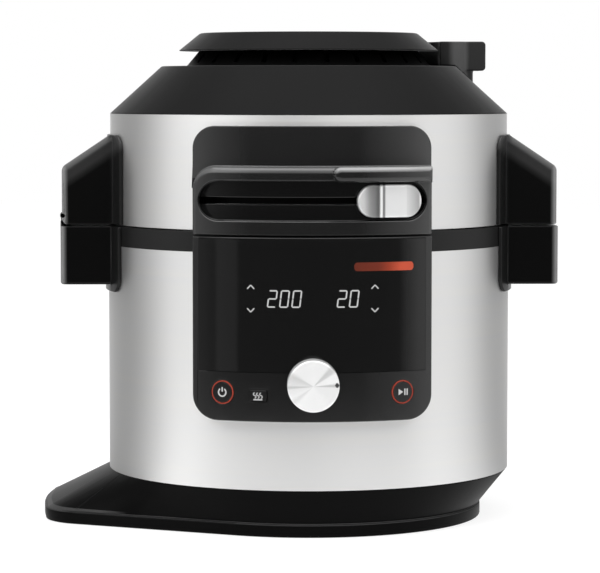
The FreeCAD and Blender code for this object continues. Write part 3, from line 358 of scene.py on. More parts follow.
def channel_plastic(name, middle, sides, floor_shade_share, edge_highlight_grey, lip_highlight_grey):
    """The lid's panel plastic, with a painted reflection that pales towards the sides, painted shade on the
    floor of the slider's channel, and painted highlights on its edges.
    """
    shader = Shader(name, (middle, middle, middle), roughness=0.2, specular=0.45)
    axes = shader.axes()
    across = shader.math("MULTIPLY_ADD", axes["X"], 1 / PANEL_WIDTH, 0.5)
    uneven = shader.math("MULTIPLY_ADD", shader.noise(40, 4), 0.02, across)
    # Painted reflection: paler towards the sides of the panel.
    plain = shader.ramp(uneven, [(0.0, sides[0]), (0.25, middle), (0.7, middle), (1.0, sides[1])])
    radius = shader.distance(axes["X"], axes["Y"])
    # Painted shade: the channel's floor keeps only a share of the panel's grey.
    low = shader.math("LESS_THAN", axes["Z"], CHANNEL_TOP)
    sunk = shader.math("MULTIPLY", shader.math("LESS_THAN", radius, CHANNEL_DEEP), low)
    share = shader.math("MULTIPLY_ADD", sunk, floor_shade_share - 1, 1)
    # The painted highlights on the channel's edges and lip are added to the grey.
    painted_highlight = channel_highlights(shader, axes, radius, sunk, edge_highlight_grey, lip_highlight_grey)
    shader.link(shader.math("MULTIPLY_ADD", plain, share, painted_highlight), shader.surface.inputs["Base Color"])
    shader.vary("Roughness", shader.noise(14, 4), [(0.3, 0.17), (0.7, 0.23)])
    shader.grain(0.05)
    return shader.material


def foot_plastic(name, grey, edge_highlight_grey):
    """Dull black plastic, with a painted highlight along the upper edge of the rim."""
    shader = Shader(name, (grey, grey, grey), roughness=0.36, specular=0.035)
    up = shader.facing()["Z"]
    turned_up = shader.ramp(up, [(0.2, 0.0), (0.5, 1.0), (0.93, 1.0), (0.98, 0.0)])
    near_rim = shader.math("COMPARE", shader.axes()["Z"], RIM_TOP, RIM_REACH)
    # Painted highlight on up-facing surfaces near the rim's upper edge.
    highlight_mask = shader.math("MULTIPLY", turned_up, near_rim)
    patches = shader.ramp(shader.noise(14, 4), [(0.3, grey * 0.92), (0.7, grey * 1.08)])
    shader.link(shader.math("MULTIPLY_ADD", highlight_mask, edge_highlight_grey, patches), shader.surface.inputs["Base Color"])
    shader.grain(0.08)
    return shader.material


def mode_glow(name):
    """A lit orange bar, dim at its left end."""
    shader = Shader(name, (0.5, 0.08, 0.04), roughness=0.3, specular=0.2)
    along = shader.math("MULTIPLY_ADD", shader.noise(90, 3), 0.002, shader.axes()["X"])
    shader.vary("Base Color", shader.math("MULTIPLY", along, 1 / MODE_REACH),
                [(x / (MODE_REACH / MM), colour) for x, colour in MODE_TONES])
    return shader.material


def valve_plastic(name):
    """Black plastic, rough and darkened with painted shade beside the cap, with a painted highlight on the
    round corner.
    """
    shader = Shader(name, (0.02, 0.02, 0.02), roughness=0.4, specular=0.1)
    along = shader.math("MULTIPLY_ADD", shader.noise(60, 3), 0.002, shader.axes()["X"])
    scaled = shader.math("MULTIPLY", along, 1 / VALVE_REACH)
    # Painted shade beside the cap, and a painted highlight on the round corner.
    shader.vary("Base Color", scaled, [(x / VALVE_REACH, grey) for x, grey in VALVE_SHADE_AND_HIGHLIGHT_TONES])
    shader.vary("Roughness", scaled, [(0.735, 1.0), (0.745, 0.4)])
    return shader.material


# Painted reflections: the light and dark wedges that the dial's lathe marks gather, put into its colour:
# (degrees clockwise from the top, grey).
DIAL_REFLECTION_WEDGES = ((0, 0.95), (36, 0.92), (44, 0.62), (54, 0.66), (60, 0.92), (80, 0.93), (88, 0.5), (94, 0.86),
               (120, 0.85), (150, 0.93), (220, 0.94), (232, 0.76), (242, 0.92), (262, 0.82), (268, 0.55),
               (274, 0.80), (296, 0.66), (308, 0.90), (360, 0.95))


def spun_metal(name, middle_z):
    """Metal turned on a lathe: fine rings round Y, and painted wedges of reflected light in its colour."""
    shader = Shader(name, (0.8, 0.8, 0.8), 0.25, 0.3)
    axes = shader.axes()
    across = axes["X"]
    up = shader.math("SUBTRACT", axes["Z"], middle_z)
    turn = shader.math("MULTIPLY", shader.math("ARCTAN2", across, up), 1 / math.tau)
    # Painted reflection wedges round the dial's middle.
    wedges = [(degrees / 360, grey * DIAL_GREY) for degrees, grey in DIAL_REFLECTION_WEDGES]
    shader.vary("Base Color", shader.math("FRACT", turn), wedges)
    radius = shader.distance(across, up)
    rings = shader.math("SINE", shader.math("MULTIPLY", radius, math.tau / DIAL_RING_PITCH))
    shader.vary("Roughness", rings, [(0.0, 0.27), (1.0, 0.33)])
    shader.spun("Y", 0.6)
    return shader.material


# Painted shade and highlights along the polished slider's scoop, ridge, flat and end: (millimetres in X,
# grey).
SLIDER_SHADE_AND_HIGHLIGHT_TONES = ((34, 0.75), (38, 0.66), (42, 0.36), (46, 0.24), (48.2, 0.14), (49.2, 0.2), (50.2, 0.95),
                (51.2, 0.95), (52.2, 0.22), (53.2, 0.3), (54, 0.88), (69.6, 0.9), (70, 0.8), (75, 0.6),
                (79, 0.42), (80.4, 0.85))
SLIDER_LEFT = 34
SLIDER_RIGHT = 82


def slider_metal(name):
    """Polished metal with painted shade in the thumb scoop and beside the ridge, and painted highlights on
    the ridge and the flat.
    """
    shader = Shader(name, (0.9, 0.9, 0.9), 0.3, 0.2)
    span = SLIDER_RIGHT - SLIDER_LEFT
    along = shader.math("MULTIPLY_ADD", shader.axes()["X"], 1 / (span * MM), -SLIDER_LEFT / span)
    # Painted shade and highlights along the slider's length.
    shader.vary("Base Color", along, [((x - SLIDER_LEFT) / span, grey) for x, grey in SLIDER_SHADE_AND_HIGHLIGHT_TONES])
    shader.vary("Roughness", shader.noise(200, 3), [(0.3, 0.18), (0.7, 0.24)])
    return shader.material


def lit_legend(name, grey):
    """White print and lit display segments, glowing evenly; on the print the glow is painted light."""
    shader = Shader(name, (grey, grey, grey), roughness=0.4, specular=0.2)
    cells = shader.ramp(shader.noise(300, 2), [(0.3, grey * 0.9), (0.7, grey)])
    shader.link(cells, shader.surface.inputs["Base Color"])
    # The glow makes the print and the segments evenly bright; on the print it is painted light.
    shader.finish_with(shader.glow(cells))
    return shader.material


MATERIALS = {
    "brushed_steel": brushed_steel("brushed_steel", 0.82),
    "black_plastic": satin_plastic("black_plastic", 0.005, 0.4, 0.3),
    "gloss_black": gloss_plastic("gloss_black", (0.006, 0.006, 0.006), 0.12, 0.3),
    "orange_trim": gloss_plastic("orange_trim", (0.52, 0.07, 0.035), 0.3, 0.2),
    "polished_metal": plain_metal("polished_metal", 0.86, 0.14),
    "spun_silver": spun_metal("spun_silver", DIAL_MIDDLE_Z * MM),
    "rubber": rubber("rubber", 0.012),
    "silicone": rubber("silicone", 0.25),
    "bare_steel": plain_metal("bare_steel", 0.6, 0.3),
    "blackened_steel": satin_plastic("blackened_steel", 0.004, 0.5, 0.2),
    "cast_aluminium": plain_metal("cast_aluminium", 0.65, 0.42),
    "motor_case": plain_metal("motor_case", 0.4, 0.4),
    "coated_pot": satin_plastic("coated_pot", 0.05, 0.38, 0.5, 600),
    "circuit_board": gloss_plastic("circuit_board", (0.02, 0.12, 0.05), 0.3),
    "dark_plastic": satin_plastic("dark_plastic", 0.03),
    "clear_smoke": gloss_plastic("clear_smoke", (0.12, 0.12, 0.125), 0.12),
    "float_red": gloss_plastic("float_red", (0.45, 0.03, 0.02), 0.25),
}
# Finishes of the pieces that differ from the rest of their slot.
SHELL_PLASTIC = satin_plastic("shell_plastic", 0.006, 0.5, 0.03, sheen=0.2)
SLIDER_METAL = slider_metal("slider_metal")
GRIP_PLASTIC = grip_plastic("grip_plastic", 0.0005, 0.01, 0.2)
# Painted shade: a darker black for the neck in the shadow under the cap, and for the vent ring.
SHADED_RECESS_PLASTIC = satin_plastic("shaded_recess_plastic", 0.0012, 0.5, 0.06)
FOOT_PLASTIC = foot_plastic("foot_plastic", 0.003, 0.05)
COLLAR_PLASTIC = satin_plastic("collar_plastic", 0.004, 0.4, 0.3)
PANEL_PLASTIC = reflection_painted_plastic("panel_plastic", 0.005, (0.008, 0.03), PANEL_WIDTH, 0.2, 0.45)
LID_PANEL_PLASTIC = channel_plastic("lid_panel_plastic", 0.008, (0.035, 0.05), 0.1, 0.09, 0.29)
VALVE_PLASTIC = valve_plastic("valve_plastic")
LEGEND = lit_legend("legend", 0.62)
OWN_FINISH = {
    "left_handle_base": GRIP_PLASTIC,
    "right_handle_base": GRIP_PLASTIC,
    "left_handle_lid": GRIP_PLASTIC,
    "right_handle_lid": GRIP_PLASTIC,
    "vent_neck": SHADED_RECESS_PLASTIC,
    "base_foot": FOOT_PLASTIC,
    "rim_collar": COLLAR_PLASTIC,
    "control_panel": PANEL_PLASTIC,
    "lid_front_panel": LID_PANEL_PLASTIC,
    "lid_top_shell": SHELL_PLASTIC,
    "top_cap": SHELL_PLASTIC,
    "release_valve": VALVE_PLASTIC,
    "button_rings": gloss_plastic("ring_trim", (0.36, 0.05, 0.03), 0.3, 0.2),
    "power_button": PANEL_PLASTIC,
    "start_button": PANEL_PLASTIC,
    "keep_warm_key": PANEL_PLASTIC,
    "hinge_pin": MATERIALS["blackened_steel"],
    "display_lens": window_plastic("window_plastic", 0.003, 0.01, LENS_WIDTH),
}


def dress(thing, material):
    thing.data.materials.clear()
    thing.data.materials.append(material)


def dress_nodes():
    for part in frame["record"]["subparts"]:
        node = part["node"]
        dress(NODES[node], OWN_FINISH.get(node, MATERIALS[part["material_slot"]]))


# How wide the rounding on each node's sharp edges is, in millimetres.
SOFT_EDGES = {
    "base_foot": 1.4,
    "rim_collar": 0.6,
    "lid_top_shell": 1.0,
    "top_cap": 1.4,
    "lid_front_panel": 0.9,
    "control_panel": 0.9,
    "control_dial": 0.4,
    "release_valve": 1.2,
    "left_handle_base": 0.8,
    "right_handle_base": 0.8,
    "left_handle_lid": 0.8,
    "right_handle_lid": 0.8,
    "rear_cover": 0.5,
    "condensation_collector": 0.6,
    "collector_bracket": 0.6,
    "power_inlet": 0.8,
    "cooking_pot": 0.8,
    "power_button": 0.4,
    "start_button": 0.4,
    "keep_warm_key": 0.4,
    "button_rings": 0.2,
}


WELD_GAP = 0.01
FLAT_ANGLE = math.radians(0.6)
SHARP_ANGLE = math.radians(35)
ROUND_SEGMENTS = 3


def soften(node, width):
    """Rounds a node's sharp edges with modifiers, so that they catch the light."""
    weld = node.modifiers.new("weld", "WELD")
    weld.merge_threshold = WELD_GAP * MM
    merge = node.modifiers.new("merge", "DECIMATE")
    merge.decimate_type = "DISSOLVE"
    merge.angle_limit = FLAT_ANGLE
    bevel = node.modifiers.new("bevel", "BEVEL")
    bevel.width = width * MM
    bevel.segments = ROUND_SEGMENTS
    bevel.use_clamp_overlap = False
    bevel.limit_method = "ANGLE"
    bevel.angle_limit = SHARP_ANGLE
    even = node.modifiers.new("even", "WEIGHTED_NORMAL")
    even.keep_sharp = True


def finished_mesh(name, build):
    bmesh.ops.recalc_face_normals(build, faces=build.faces)
    mesh = bpy.data.meshes.new(name)
    build.to_mesh(mesh)
    build.free()
    return mesh


def join_loops(build, first, second):
    """Faces between two closed loops of as many points."""
    count = len(first)
    for index in range(count):
        following = (index + 1) % count
        build.faces.new((first[index], first[following], second[following], second[index]))


def make_piece(name, mesh, material, body):
    piece = bpy.data.objects.new(name, mesh)
    bpy.context.scene.collection.objects.link(piece)
    dress(piece, material)
    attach(piece, body)
    return piece


# Legends are thin plates laid on the curved panel, drawn as outlines in X and Z, in millimetres.
PANEL_RADIUS = 168
LEGEND_LIFT = 0.12
LEGEND_ROOT = -0.2


def on_cylinder(x, z, radius):
    return Vector((x, -math.sqrt(radius * radius - x * x), z)) * MM


def plate(outlines, radius=PANEL_RADIUS, place=on_cylinder):
    """A mesh of thin plates from convex outlines, bent onto the panel."""
    build = bmesh.new()
    for outline in outlines:
        front = [build.verts.new(place(x, z, radius + LEGEND_LIFT)) for x, z in outline]
        back = [build.verts.new(place(x, z, radius + LEGEND_ROOT)) for x, z in outline]
        build.faces.new(front)
        build.faces.new(back[::-1])
        join_loops(build, front, back)
    return finished_mesh("plate", build)


# A stroke's pointed ends, in half widths: how far the point stands out and its shoulders stand back.
STROKE_POINT = 0.4
STROKE_SHOULDER = 0.3


def stroke(start, end, width):
    """A bar between two points with pointed ends."""
    start, end = Vector(start), Vector(end)
    ahead = (end - start).normalized() * (width / 2)
    aside = Vector((-ahead.y, ahead.x))
    point = ahead * STROKE_POINT
    shoulder = ahead * STROKE_SHOULDER
    return [start - point, start + shoulder - aside, end - shoulder - aside, end + point,
            end - shoulder + aside, start + shoulder + aside]


def arc_strokes(centre, radius, start, end, width, steps=20):
    """A ring or part of one, as short four-sided plates; angles in degrees from +Z towards +X."""
    plates = []
    for index in range(steps):
        corners = []
        for step, reach in ((index, -1), (index, 1), (index + 1, 1), (index + 1, -1)):
            angle = math.radians(start + (end - start) * step / steps)
            distance = radius + reach * width / 2
            corners.append((centre[0] + distance * math.sin(angle), centre[1] + distance * math.cos(angle)))
        plates.append(corners)
    return plates


# Seven-segment digits: each segment runs between two corners of a grid two cells high.
SEGMENTS = {"top": ((0, 2), (1, 2)), "upper_left": ((0, 1), (0, 2)), "upper_right": ((1, 1), (1, 2)),
            "middle": ((0, 1), (1, 1)), "lower_left": ((0, 0), (0, 1)), "lower_right": ((1, 0), (1, 1)),
            "bottom": ((0, 0), (1, 0))}
DARK_SEGMENTS = {"0": ("middle",), "2": ("upper_left", "lower_right")}
DIGIT_WIDTH = 5.8
DIGIT_TALL = 12
DIGIT_PITCH = 9.0
DIGIT_STROKE = 1.05
DIGIT_GAP = 0.3
DIGIT_SLANT = 0.12
DIGIT_Z = 181.6


def number(text, middle):
    """The lit segments of a number round a middle in X."""
    bars = []
    for index, digit in enumerate(text):
        left = middle + (index - (len(text) - 1) / 2) * DIGIT_PITCH - DIGIT_WIDTH / 2
        for segment, ends in SEGMENTS.items():
            if segment in DARK_SEGMENTS[digit]:
                continue
            start, end = [Vector((left + DIGIT_WIDTH * column + DIGIT_SLANT * DIGIT_TALL * (row - 1) / 2,
                                  DIGIT_Z + DIGIT_TALL * (row - 1) / 2)) for column, row in ends]
            gap = (end - start).normalized() * DIGIT_GAP
            bars.append(stroke(start + gap, end - gap, DIGIT_STROKE))
    return bars


ARROW_X = 46
ARROW_HALF = 2.6
ARROW_TALL = 2.8
ARROW_STROKE = 0.85
ARROW_RISE = 8.6


def arrows():
    """An arrow up and one down beside each number."""
    bars = []
    for x in (-ARROW_X, ARROW_X):
        for way in (1, -1):
            tip = (x, DIGIT_Z + way * (ARROW_RISE + ARROW_TALL / 2))
            for side in (-1, 1):
                foot = (x + side * ARROW_HALF, DIGIT_Z + way * (ARROW_RISE - ARROW_TALL / 2))
                bars.append(stroke(foot, tip, ARROW_STROKE))
    return bars


BAR_LEFT = 30.5
BAR_RIGHT = 75
BAR_Z = 205.2
BAR_HALF = 3.2
BAR_ROUND = 2.0
BAR_SLICES = 40
# The least square of a slice's height at the bar's ends, so that no slice has an empty side.
BAR_LEAST = 0.01


def mode_bar():
    """A long bar with rounded ends, in slices that follow the curve of the panel."""
    plates = []
    for index in range(BAR_SLICES):
        edges = []
        for step in (index, index + 1):
            x = BAR_LEFT + (BAR_RIGHT - BAR_LEFT) * step / BAR_SLICES
            end_room = min(x - BAR_LEFT, BAR_RIGHT - x, BAR_ROUND)
            arch = math.sqrt(max(BAR_ROUND ** 2 - (BAR_ROUND - end_room) ** 2, BAR_LEAST))
            edges.append((x, BAR_HALF - BAR_ROUND + arch))
        (x_low, half_low), (x_high, half_high) = edges
        plates.append([(x_low, BAR_Z - half_low), (x_high, BAR_Z - half_high), (x_high, BAR_Z + half_high),
                       (x_low, BAR_Z + half_low)])
    return plates


BUTTON_ANGLE = math.radians(23.5)
KEY_ANGLE = math.radians(14)
BUTTON_Z = 111.3
KEY_Z = 109.5
BUTTON_FACE = 168.6


def on_face(angle):
    """Places a legend on a flat button face that looks along a radius of the body."""
    outward = Vector((math.sin(angle), -math.cos(angle), 0))
    aside = Vector((math.cos(angle), math.sin(angle), 0))
    return lambda x, z, radius: (outward * radius + aside * x + Vector((0, 0, z))) * MM


POWER_RADIUS = 3
POWER_GAP = 35
POWER_STROKE = 1.1
POWER_BAR = (0.5, 3.8)


def power_symbol():
    """An open ring with a bar in its gap."""
    ring = arc_strokes((0, BUTTON_Z), POWER_RADIUS, POWER_GAP, 360 - POWER_GAP, POWER_STROKE)
    low, high = POWER_BAR
    return ring + [stroke((0, BUTTON_Z + low), (0, BUTTON_Z + high), POWER_STROKE)]


START_HALF = 2.4
START_LEFT = -3.6
START_TIP = 0.2
PAUSE_BARS = (1.6, 3.5)
PAUSE_STROKE = 1.0


def start_symbol():
    """A plain triangle and two bars, as on any player."""
    low = BUTTON_Z - START_HALF
    high = BUTTON_Z + START_HALF
    triangle = [(START_LEFT, low), (START_TIP, BUTTON_Z), (START_LEFT, high)]
    return [triangle] + [stroke((x, low), (x, high), PAUSE_STROKE) for x in PAUSE_BARS]


WARM_LINE_HALF = 3.4
WARM_LINE_DROP = 2.9
WARM_LINE_STROKE = 0.9
WAVE_PITCH = 2.4
WAVE_RADIUS = 1.0
WAVE_STROKE = 0.7
WAVE_STEPS = 6
# Each wave is two half rings: (height of the middle from the key's, degrees where it starts).
WAVE_HALVES = ((-0.8, 0), (1.2, 180))


def warm_symbol():
    """Three rising waves over a line, the usual sign for heat."""
    line_z = KEY_Z - WARM_LINE_DROP
    bars = [stroke((-WARM_LINE_HALF, line_z), (WARM_LINE_HALF, line_z), WARM_LINE_STROKE)]
    for x in (-WAVE_PITCH, 0, WAVE_PITCH):
        for rise, start in WAVE_HALVES:
            bars += arc_strokes((x, KEY_Z + rise), WAVE_RADIUS, start, start + 180, WAVE_STROKE, WAVE_STEPS)
    return bars


# The slider: a pill with a thumb scoop, a ridge and a flat, in millimetres along its length and up.
SLIDER_ANGLE = math.radians(20.2)
SLIDER_Z = 253.5
SLIDER_FACE = 168.6
SLIDER_BACK = 163
SLIDER_RADIUS = 12.3
SLIDER_STRAIGHT = 13.4
SLIDER_EDGE = 1.6
SCOOP_END = -10.4
SCOOP_DEPTH = 2.0
RIDGE_MIDDLE = -8.5
RIDGE_HALF = 1.6
RIDGE_RISE = 1.3
SLIDER_INSETS = (0, 0.1, 0.3, 0.6, 1.0, 1.6, 3.5, 6, 9, 12.2)
PILL_STRAIGHT_STEPS = 48
PILL_ROUND_STEPS = 24


def slider_height(along, inset):
    """How far the slider's front stands from its face radius, at a place along it and from its rim."""
    height = -SLIDER_EDGE + math.sqrt(SLIDER_EDGE ** 2 - max(SLIDER_EDGE - inset, 0) ** 2)
    low_end = -SLIDER_RADIUS - SLIDER_STRAIGHT
    if along < SCOOP_END:
        height -= SCOOP_DEPTH * math.sin(math.pi * (along - low_end) / (SCOOP_END - low_end)) ** 2
    ridge = (along - RIDGE_MIDDLE) / RIDGE_HALF
    if abs(ridge) < 1 and inset > 0:
        height += RIDGE_RISE * math.cos(ridge * math.pi / 2) ** 2 * min(inset / SLIDER_EDGE, 1)
    return height


def pill_outline(radius):
    """Points round a pill: along its top, round the right end, back below and round the left."""
    points = []
    for end, start_angle in ((1, 0), (-1, 180)):
        for step in range(PILL_STRAIGHT_STEPS):
            along = SLIDER_STRAIGHT * (2 * step / PILL_STRAIGHT_STEPS - 1)
            points.append((end * along, end * radius))
        for step in range(PILL_ROUND_STEPS):
            angle = math.radians(start_angle + 180 * step / PILL_ROUND_STEPS)
            points.append((end * SLIDER_STRAIGHT + radius * math.sin(angle), radius * math.cos(angle)))
    return points


def close_pill(build, loop):
    """Fills the innermost loop of a pill with strips across its straight part and two round ends."""
    below = 2 * PILL_STRAIGHT_STEPS + PILL_ROUND_STEPS
    for index in range(PILL_STRAIGHT_STEPS):
        build.faces.new((loop[index], loop[index + 1], loop[below - index - 1], loop[below - index]))
    build.faces.new(loop[PILL_STRAIGHT_STEPS:PILL_STRAIGHT_STEPS + PILL_ROUND_STEPS + 1])
    build.faces.new(loop[below:] + loop[:1])


def slider_place(along, up, radius):
    turn = SLIDER_ANGLE + math.asin(along / SLIDER_FACE)
    return Vector((radius * math.sin(turn), -radius * math.cos(turn), SLIDER_Z + up)) * MM


def make_slider():
    """The pill's back, its rim and its front, as loops that shrink towards the middle."""
    build = bmesh.new()
    loops = [[build.verts.new(slider_place(*point, SLIDER_BACK)) for point in pill_outline(SLIDER_RADIUS)]]
    for inset in SLIDER_INSETS:
        loops.append([build.verts.new(slider_place(*point, SLIDER_FACE + slider_height(point[0], inset)))
                      for point in pill_outline(SLIDER_RADIUS - inset)])
    for outer, inner in zip(loops, loops[1:]):
        join_loops(build, outer, inner)
    build.faces.new(loops[0][::-1])
    close_pill(build, loops[-1])
    for face in build.faces:
        face.smooth = True
    slider = make_piece("slider_pill", finished_mesh("slider", build), SLIDER_METAL, "lock")
    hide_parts("slider_knob")


DIAL_FACE = 185.6
DIAL_RADIUS = 19.2
MARK_ANGLE = math.radians(87)
MARK_WIDTH = 3.6
# How far the mark's two ends lie from the rim of the dial.
MARK_ENDS = (2.8, 0.9)


def make_dial_mark():
    """A dark notch at the edge of the dial's face."""
    aim = Vector((math.sin(MARK_ANGLE), math.cos(MARK_ANGLE)))
    middle = Vector((0, DIAL_MIDDLE_Z))
    start, end = [middle + aim * (DIAL_RADIUS - inset) for inset in MARK_ENDS]
    mark = stroke(start, end, MARK_WIDTH)
    flat = plate([mark], DIAL_FACE, lambda x, z, radius: Vector((x, -radius, z)) * MM)
    make_piece("dial_mark", flat, MATERIALS["dark_plastic"], "dial")


SCREEN_RADIUS = 79.5
SCREEN_LOW = 354
SCREEN_HIGH = 366
SCREEN_WALL = 0.8
SCREEN_STEPS = 96


def make_vent_screen():
    """The gauze ring behind the vent slots of the neck, in the black darkened with painted shade."""
    build = bmesh.new()
    turns = [math.tau * step / SCREEN_STEPS for step in range(SCREEN_STEPS)]
    inner = SCREEN_RADIUS - SCREEN_WALL
    rings = []
    for radius, z in ((SCREEN_RADIUS, SCREEN_LOW), (SCREEN_RADIUS, SCREEN_HIGH), (inner, SCREEN_HIGH),
                      (inner, SCREEN_LOW)):
        rings.append([build.verts.new(Vector((radius * math.cos(turn), radius * math.sin(turn), z)) * MM)
                      for turn in turns])
    for ring, following in zip(rings, rings[1:] + rings[:1]):
        join_loops(build, ring, following)
    make_piece("vent_screen", finished_mesh("vent_screen", build), SHADED_RECESS_PLASTIC, "lid")


# The middles of the two numbers on the display.
HEAT_X = -21
TIME_X = 26


def make_legends():
    make_piece("display_digits", plate(number("200", HEAT_X) + number("20", TIME_X)), LEGEND, "base")
    make_piece("display_arrows", plate(arrows()), LEGEND, "base")
    make_piece("mode_bar", plate(mode_bar()), mode_glow("mode_glow"), "base")
    for name, outlines, angle, body in (("power_mark", power_symbol(), -BUTTON_ANGLE, "power_key"),
                                        ("start_mark", start_symbol(), BUTTON_ANGLE, "start_key"),
                                        ("warm_mark", warm_symbol(), -KEY_ANGLE, "warm_key")):
        make_piece(name, plate(outlines, BUTTON_FACE, on_face(angle)), LEGEND, body)


def area_light(name, place, aim, width, height, power):
    data = bpy.data.lights.new(name, "AREA")
    data.shape = "RECTANGLE"
    data.size = width
    data.size_y = height
    data.energy = power
    light = bpy.data.objects.new(name, data)
    light.location = place
    light.rotation_euler = (Vector(aim) - Vector(place)).to_track_quat("-Z", "Y").to_euler()
    light.visible_glossy = False
    bpy.context.scene.collection.objects.link(light)


WORLD_FILL = 0.55
WHITE = 1.0


def make_world():
    """White to the camera and in reflections, a softer fill for everything else."""
    world = bpy.data.worlds.new("studio")
    bpy.context.scene.world = world
    world.use_nodes = True
    tree = world.node_tree
    level = tree.nodes.new("ShaderNodeMapRange")
    level.inputs["To Min"].default_value = WORLD_FILL
    level.inputs["To Max"].default_value = WHITE
    tree.links.new(seen_rays(tree), level.inputs["Value"])
    tree.links.new(level.outputs[0], tree.nodes["Background"].inputs["Strength"])
    tree.nodes["Background"].inputs["Color"].default_value = (1, 1, 1, 1)


WALL_RADIUS = 0.75
WALL_STEPS = 72
GROUND_Z = 0.001
HORIZON_Z = 0.42
CEILING_Z = 1.5
# Greys round the studio, as reflections show them: (degrees from the front towards +X, grey).
# Near the height of the object the front is dark; the soft boxes hang above it.
REAR_LEFT_TONES = ((-180, 1.4), (-165, 1.3), (-150, 0.7), (-137, 0.48), (-128, 0.36), (-106, 0.28))
REAR_RIGHT_TONES = ((91, 0.8), (109, 0.38), (132, 0.4), (148, 0.7), (165, 1.3), (180, 1.4))
HORIZON_FRONT = ((-90, 0.55), (-75, 1.0), (-64, 0.7), (-50, 0.26), (-35, 0.14), (0, 0.12), (35, 0.14),
                 (48, 0.18), (61, 0.7), (72, 0.9))
BOX_FRONT = ((-90, 0.6), (-75, 1.2), (-47, 3.1), (-32, 1.8), (-18, 1.05), (0, 1.25), (18, 1.95), (38, 1.85),
             (52, 1.7), (68, 1.15))
HORIZON_TONES = REAR_LEFT_TONES + HORIZON_FRONT + REAR_RIGHT_TONES
BOX_TONES = REAR_LEFT_TONES + BOX_FRONT + REAR_RIGHT_TONES
GROUND_TONES = ((-180, 1.3), (-150, 0.7), (-128, 0.38), (-106, 0.3), (-85, 0.65), (-60, 1.45), (-30, 1.2),
                (24, 1.3), (60, 1.2), (91, 0.8), (109, 0.4), (132, 0.4), (150, 0.7), (180, 1.3))


def only_in_mirrors(thing):
    thing.visible_camera = False
    thing.visible_diffuse = False
    thing.visible_shadow = False
    thing.visible_transmission = False


def round_paint(name, tones):
    """A glow whose grey depends on the direction from the middle of the studio."""
    shader = Shader(name, (1, 1, 1))
    axes = shader.axes()
    angle = shader.math("ARCTAN2", axes["X"], shader.math("MULTIPLY", axes["Y"], -1))
    turn = shader.math("MULTIPLY_ADD", angle, 1 / math.tau, 0.5)
    stops = [(degrees / 360 + 0.5, grey) for degrees, grey in tones]
    shader.finish_with(shader.glow(shader.ramp(turn, stops)))
    return shader.material


def flat_piece(name, points, faces):
    mesh = bpy.data.meshes.new(name)
    mesh.from_pydata(points, [], faces)
    thing = bpy.data.objects.new(name, mesh)
    bpy.context.scene.collection.objects.link(thing)
    return thing


def mirror_card(name, points, faces, material):
    """A card that only reflections see."""
    card = flat_piece(name, points, faces)
    dress(card, material)
    only_in_mirrors(card)


def make_studio_wall():
    """A round wall with soft boxes in its upper part, and the ground inside it."""
    turns = [math.tau * step / WALL_STEPS for step in range(WALL_STEPS)]
    circle = [(WALL_RADIUS * math.sin(turn), -WALL_RADIUS * math.cos(turn)) for turn in turns]
    steps = [(step, (step + 1) % WALL_STEPS) for step in range(WALL_STEPS)]
    for name, low, high, tones in (("studio_horizon", GROUND_Z, HORIZON_Z, HORIZON_TONES),
                                   ("studio_boxes", HORIZON_Z, CEILING_Z, BOX_TONES)):
        mirror_card(name, [(x, y, z) for z in (low, high) for x, y in circle],
                    [(here, after, after + WALL_STEPS, here + WALL_STEPS) for here, after in steps],
                    round_paint(name, tones))
    mirror_card("studio_ground", [(x, y, GROUND_Z) for x, y in circle + [(0, 0)]],
                [(here, after, WALL_STEPS) for here, after in steps],
                round_paint("studio_ground", GROUND_TONES))


def square(half, z):
    return [(-half, -half, z), (half, -half, z), (half, half, z), (-half, half, z)]


SQUARE_FACE = [(0, 1, 2, 3)]
CEILING_LEVEL = 4


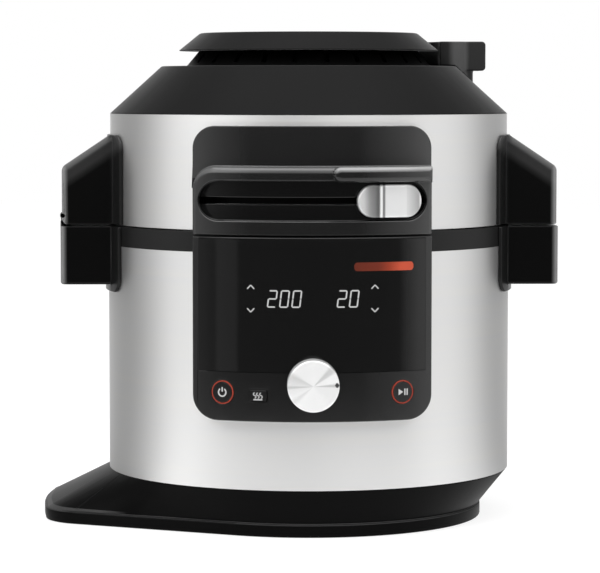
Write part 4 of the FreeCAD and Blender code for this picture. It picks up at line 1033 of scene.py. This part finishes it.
def make_ceiling():
    """A bright ceiling that shows on the rounded edges that face up."""
    shader = Shader("studio_ceiling", (1, 1, 1))
    tones = shader.ramp(shader.noise(0.5, 2), [(0.3, 0.95), (0.7, 1.0)])
    shader.finish_with(shader.glow(tones, CEILING_LEVEL))
    mirror_card("studio_ceiling", square(WALL_RADIUS, CEILING_Z), SQUARE_FACE, shader.material)


FLOOR_HALF = 6
FLOOR_GLOW = 0.82
FLOOR_SHARE = 0.34


def make_floor():
    """A pale floor that shows white where it is lit, and keeps the shadow under the foot."""
    floor = flat_piece("floor", square(FLOOR_HALF, 0), SQUARE_FACE)
    shader = Shader("floor_paint", (0.9, 0.9, 0.9), roughness=0.7, specular=0.1)
    tones = shader.ramp(shader.noise(3, 3), [(0.3, 0.98), (0.7, 1.0)])
    shader.link(tones, shader.surface.inputs["Base Color"])
    shade = shader.add("ShaderNodeBsdfDiffuse")
    shade.inputs["Color"].default_value = (FLOOR_SHARE, FLOOR_SHARE, FLOOR_SHARE, 1)
    both = shader.add("ShaderNodeAddShader")
    shader.link(shader.glow(tones, FLOOR_GLOW), both.inputs[0])
    shader.link(shade.outputs[0], both.inputs[1])
    mixed = shader.add("ShaderNodeMixShader")
    shader.link(shader.seen_rays(), mixed.inputs[0])
    shader.link(shader.surface.outputs[0], mixed.inputs[1])
    shader.link(both.outputs[0], mixed.inputs[2])
    shader.finish_with(mixed.outputs[0])
    dress(floor, shader.material)


LIGHT_AIM = (0, 0, 0.2)
# Soft lights: name, place, width and height in metres, and watts.
LIGHTS = (("key", (-1.3, -1.6, 1.9), 1.6, 1.2, 24),
          ("fill", (1.5, -1.5, 1.5), 1.4, 1.4, 15),
          ("top", (0, -0.3, 2.2), 2.0, 2.0, 16))


make_camera()
make_world()
make_floor()
make_studio_wall()
make_ceiling()
for light_name, light_place, light_width, light_height, light_power in LIGHTS:
    area_light(light_name, light_place, LIGHT_AIM, light_width, light_height, light_power)
dress_nodes()
for soft_node, soft_width in SOFT_EDGES.items():
    soften(NODES[soft_node], soft_width)
make_legends()
make_slider()
make_dial_mark()
make_vent_screen()

bpy.context.scene.view_settings.view_transform = "Standard"
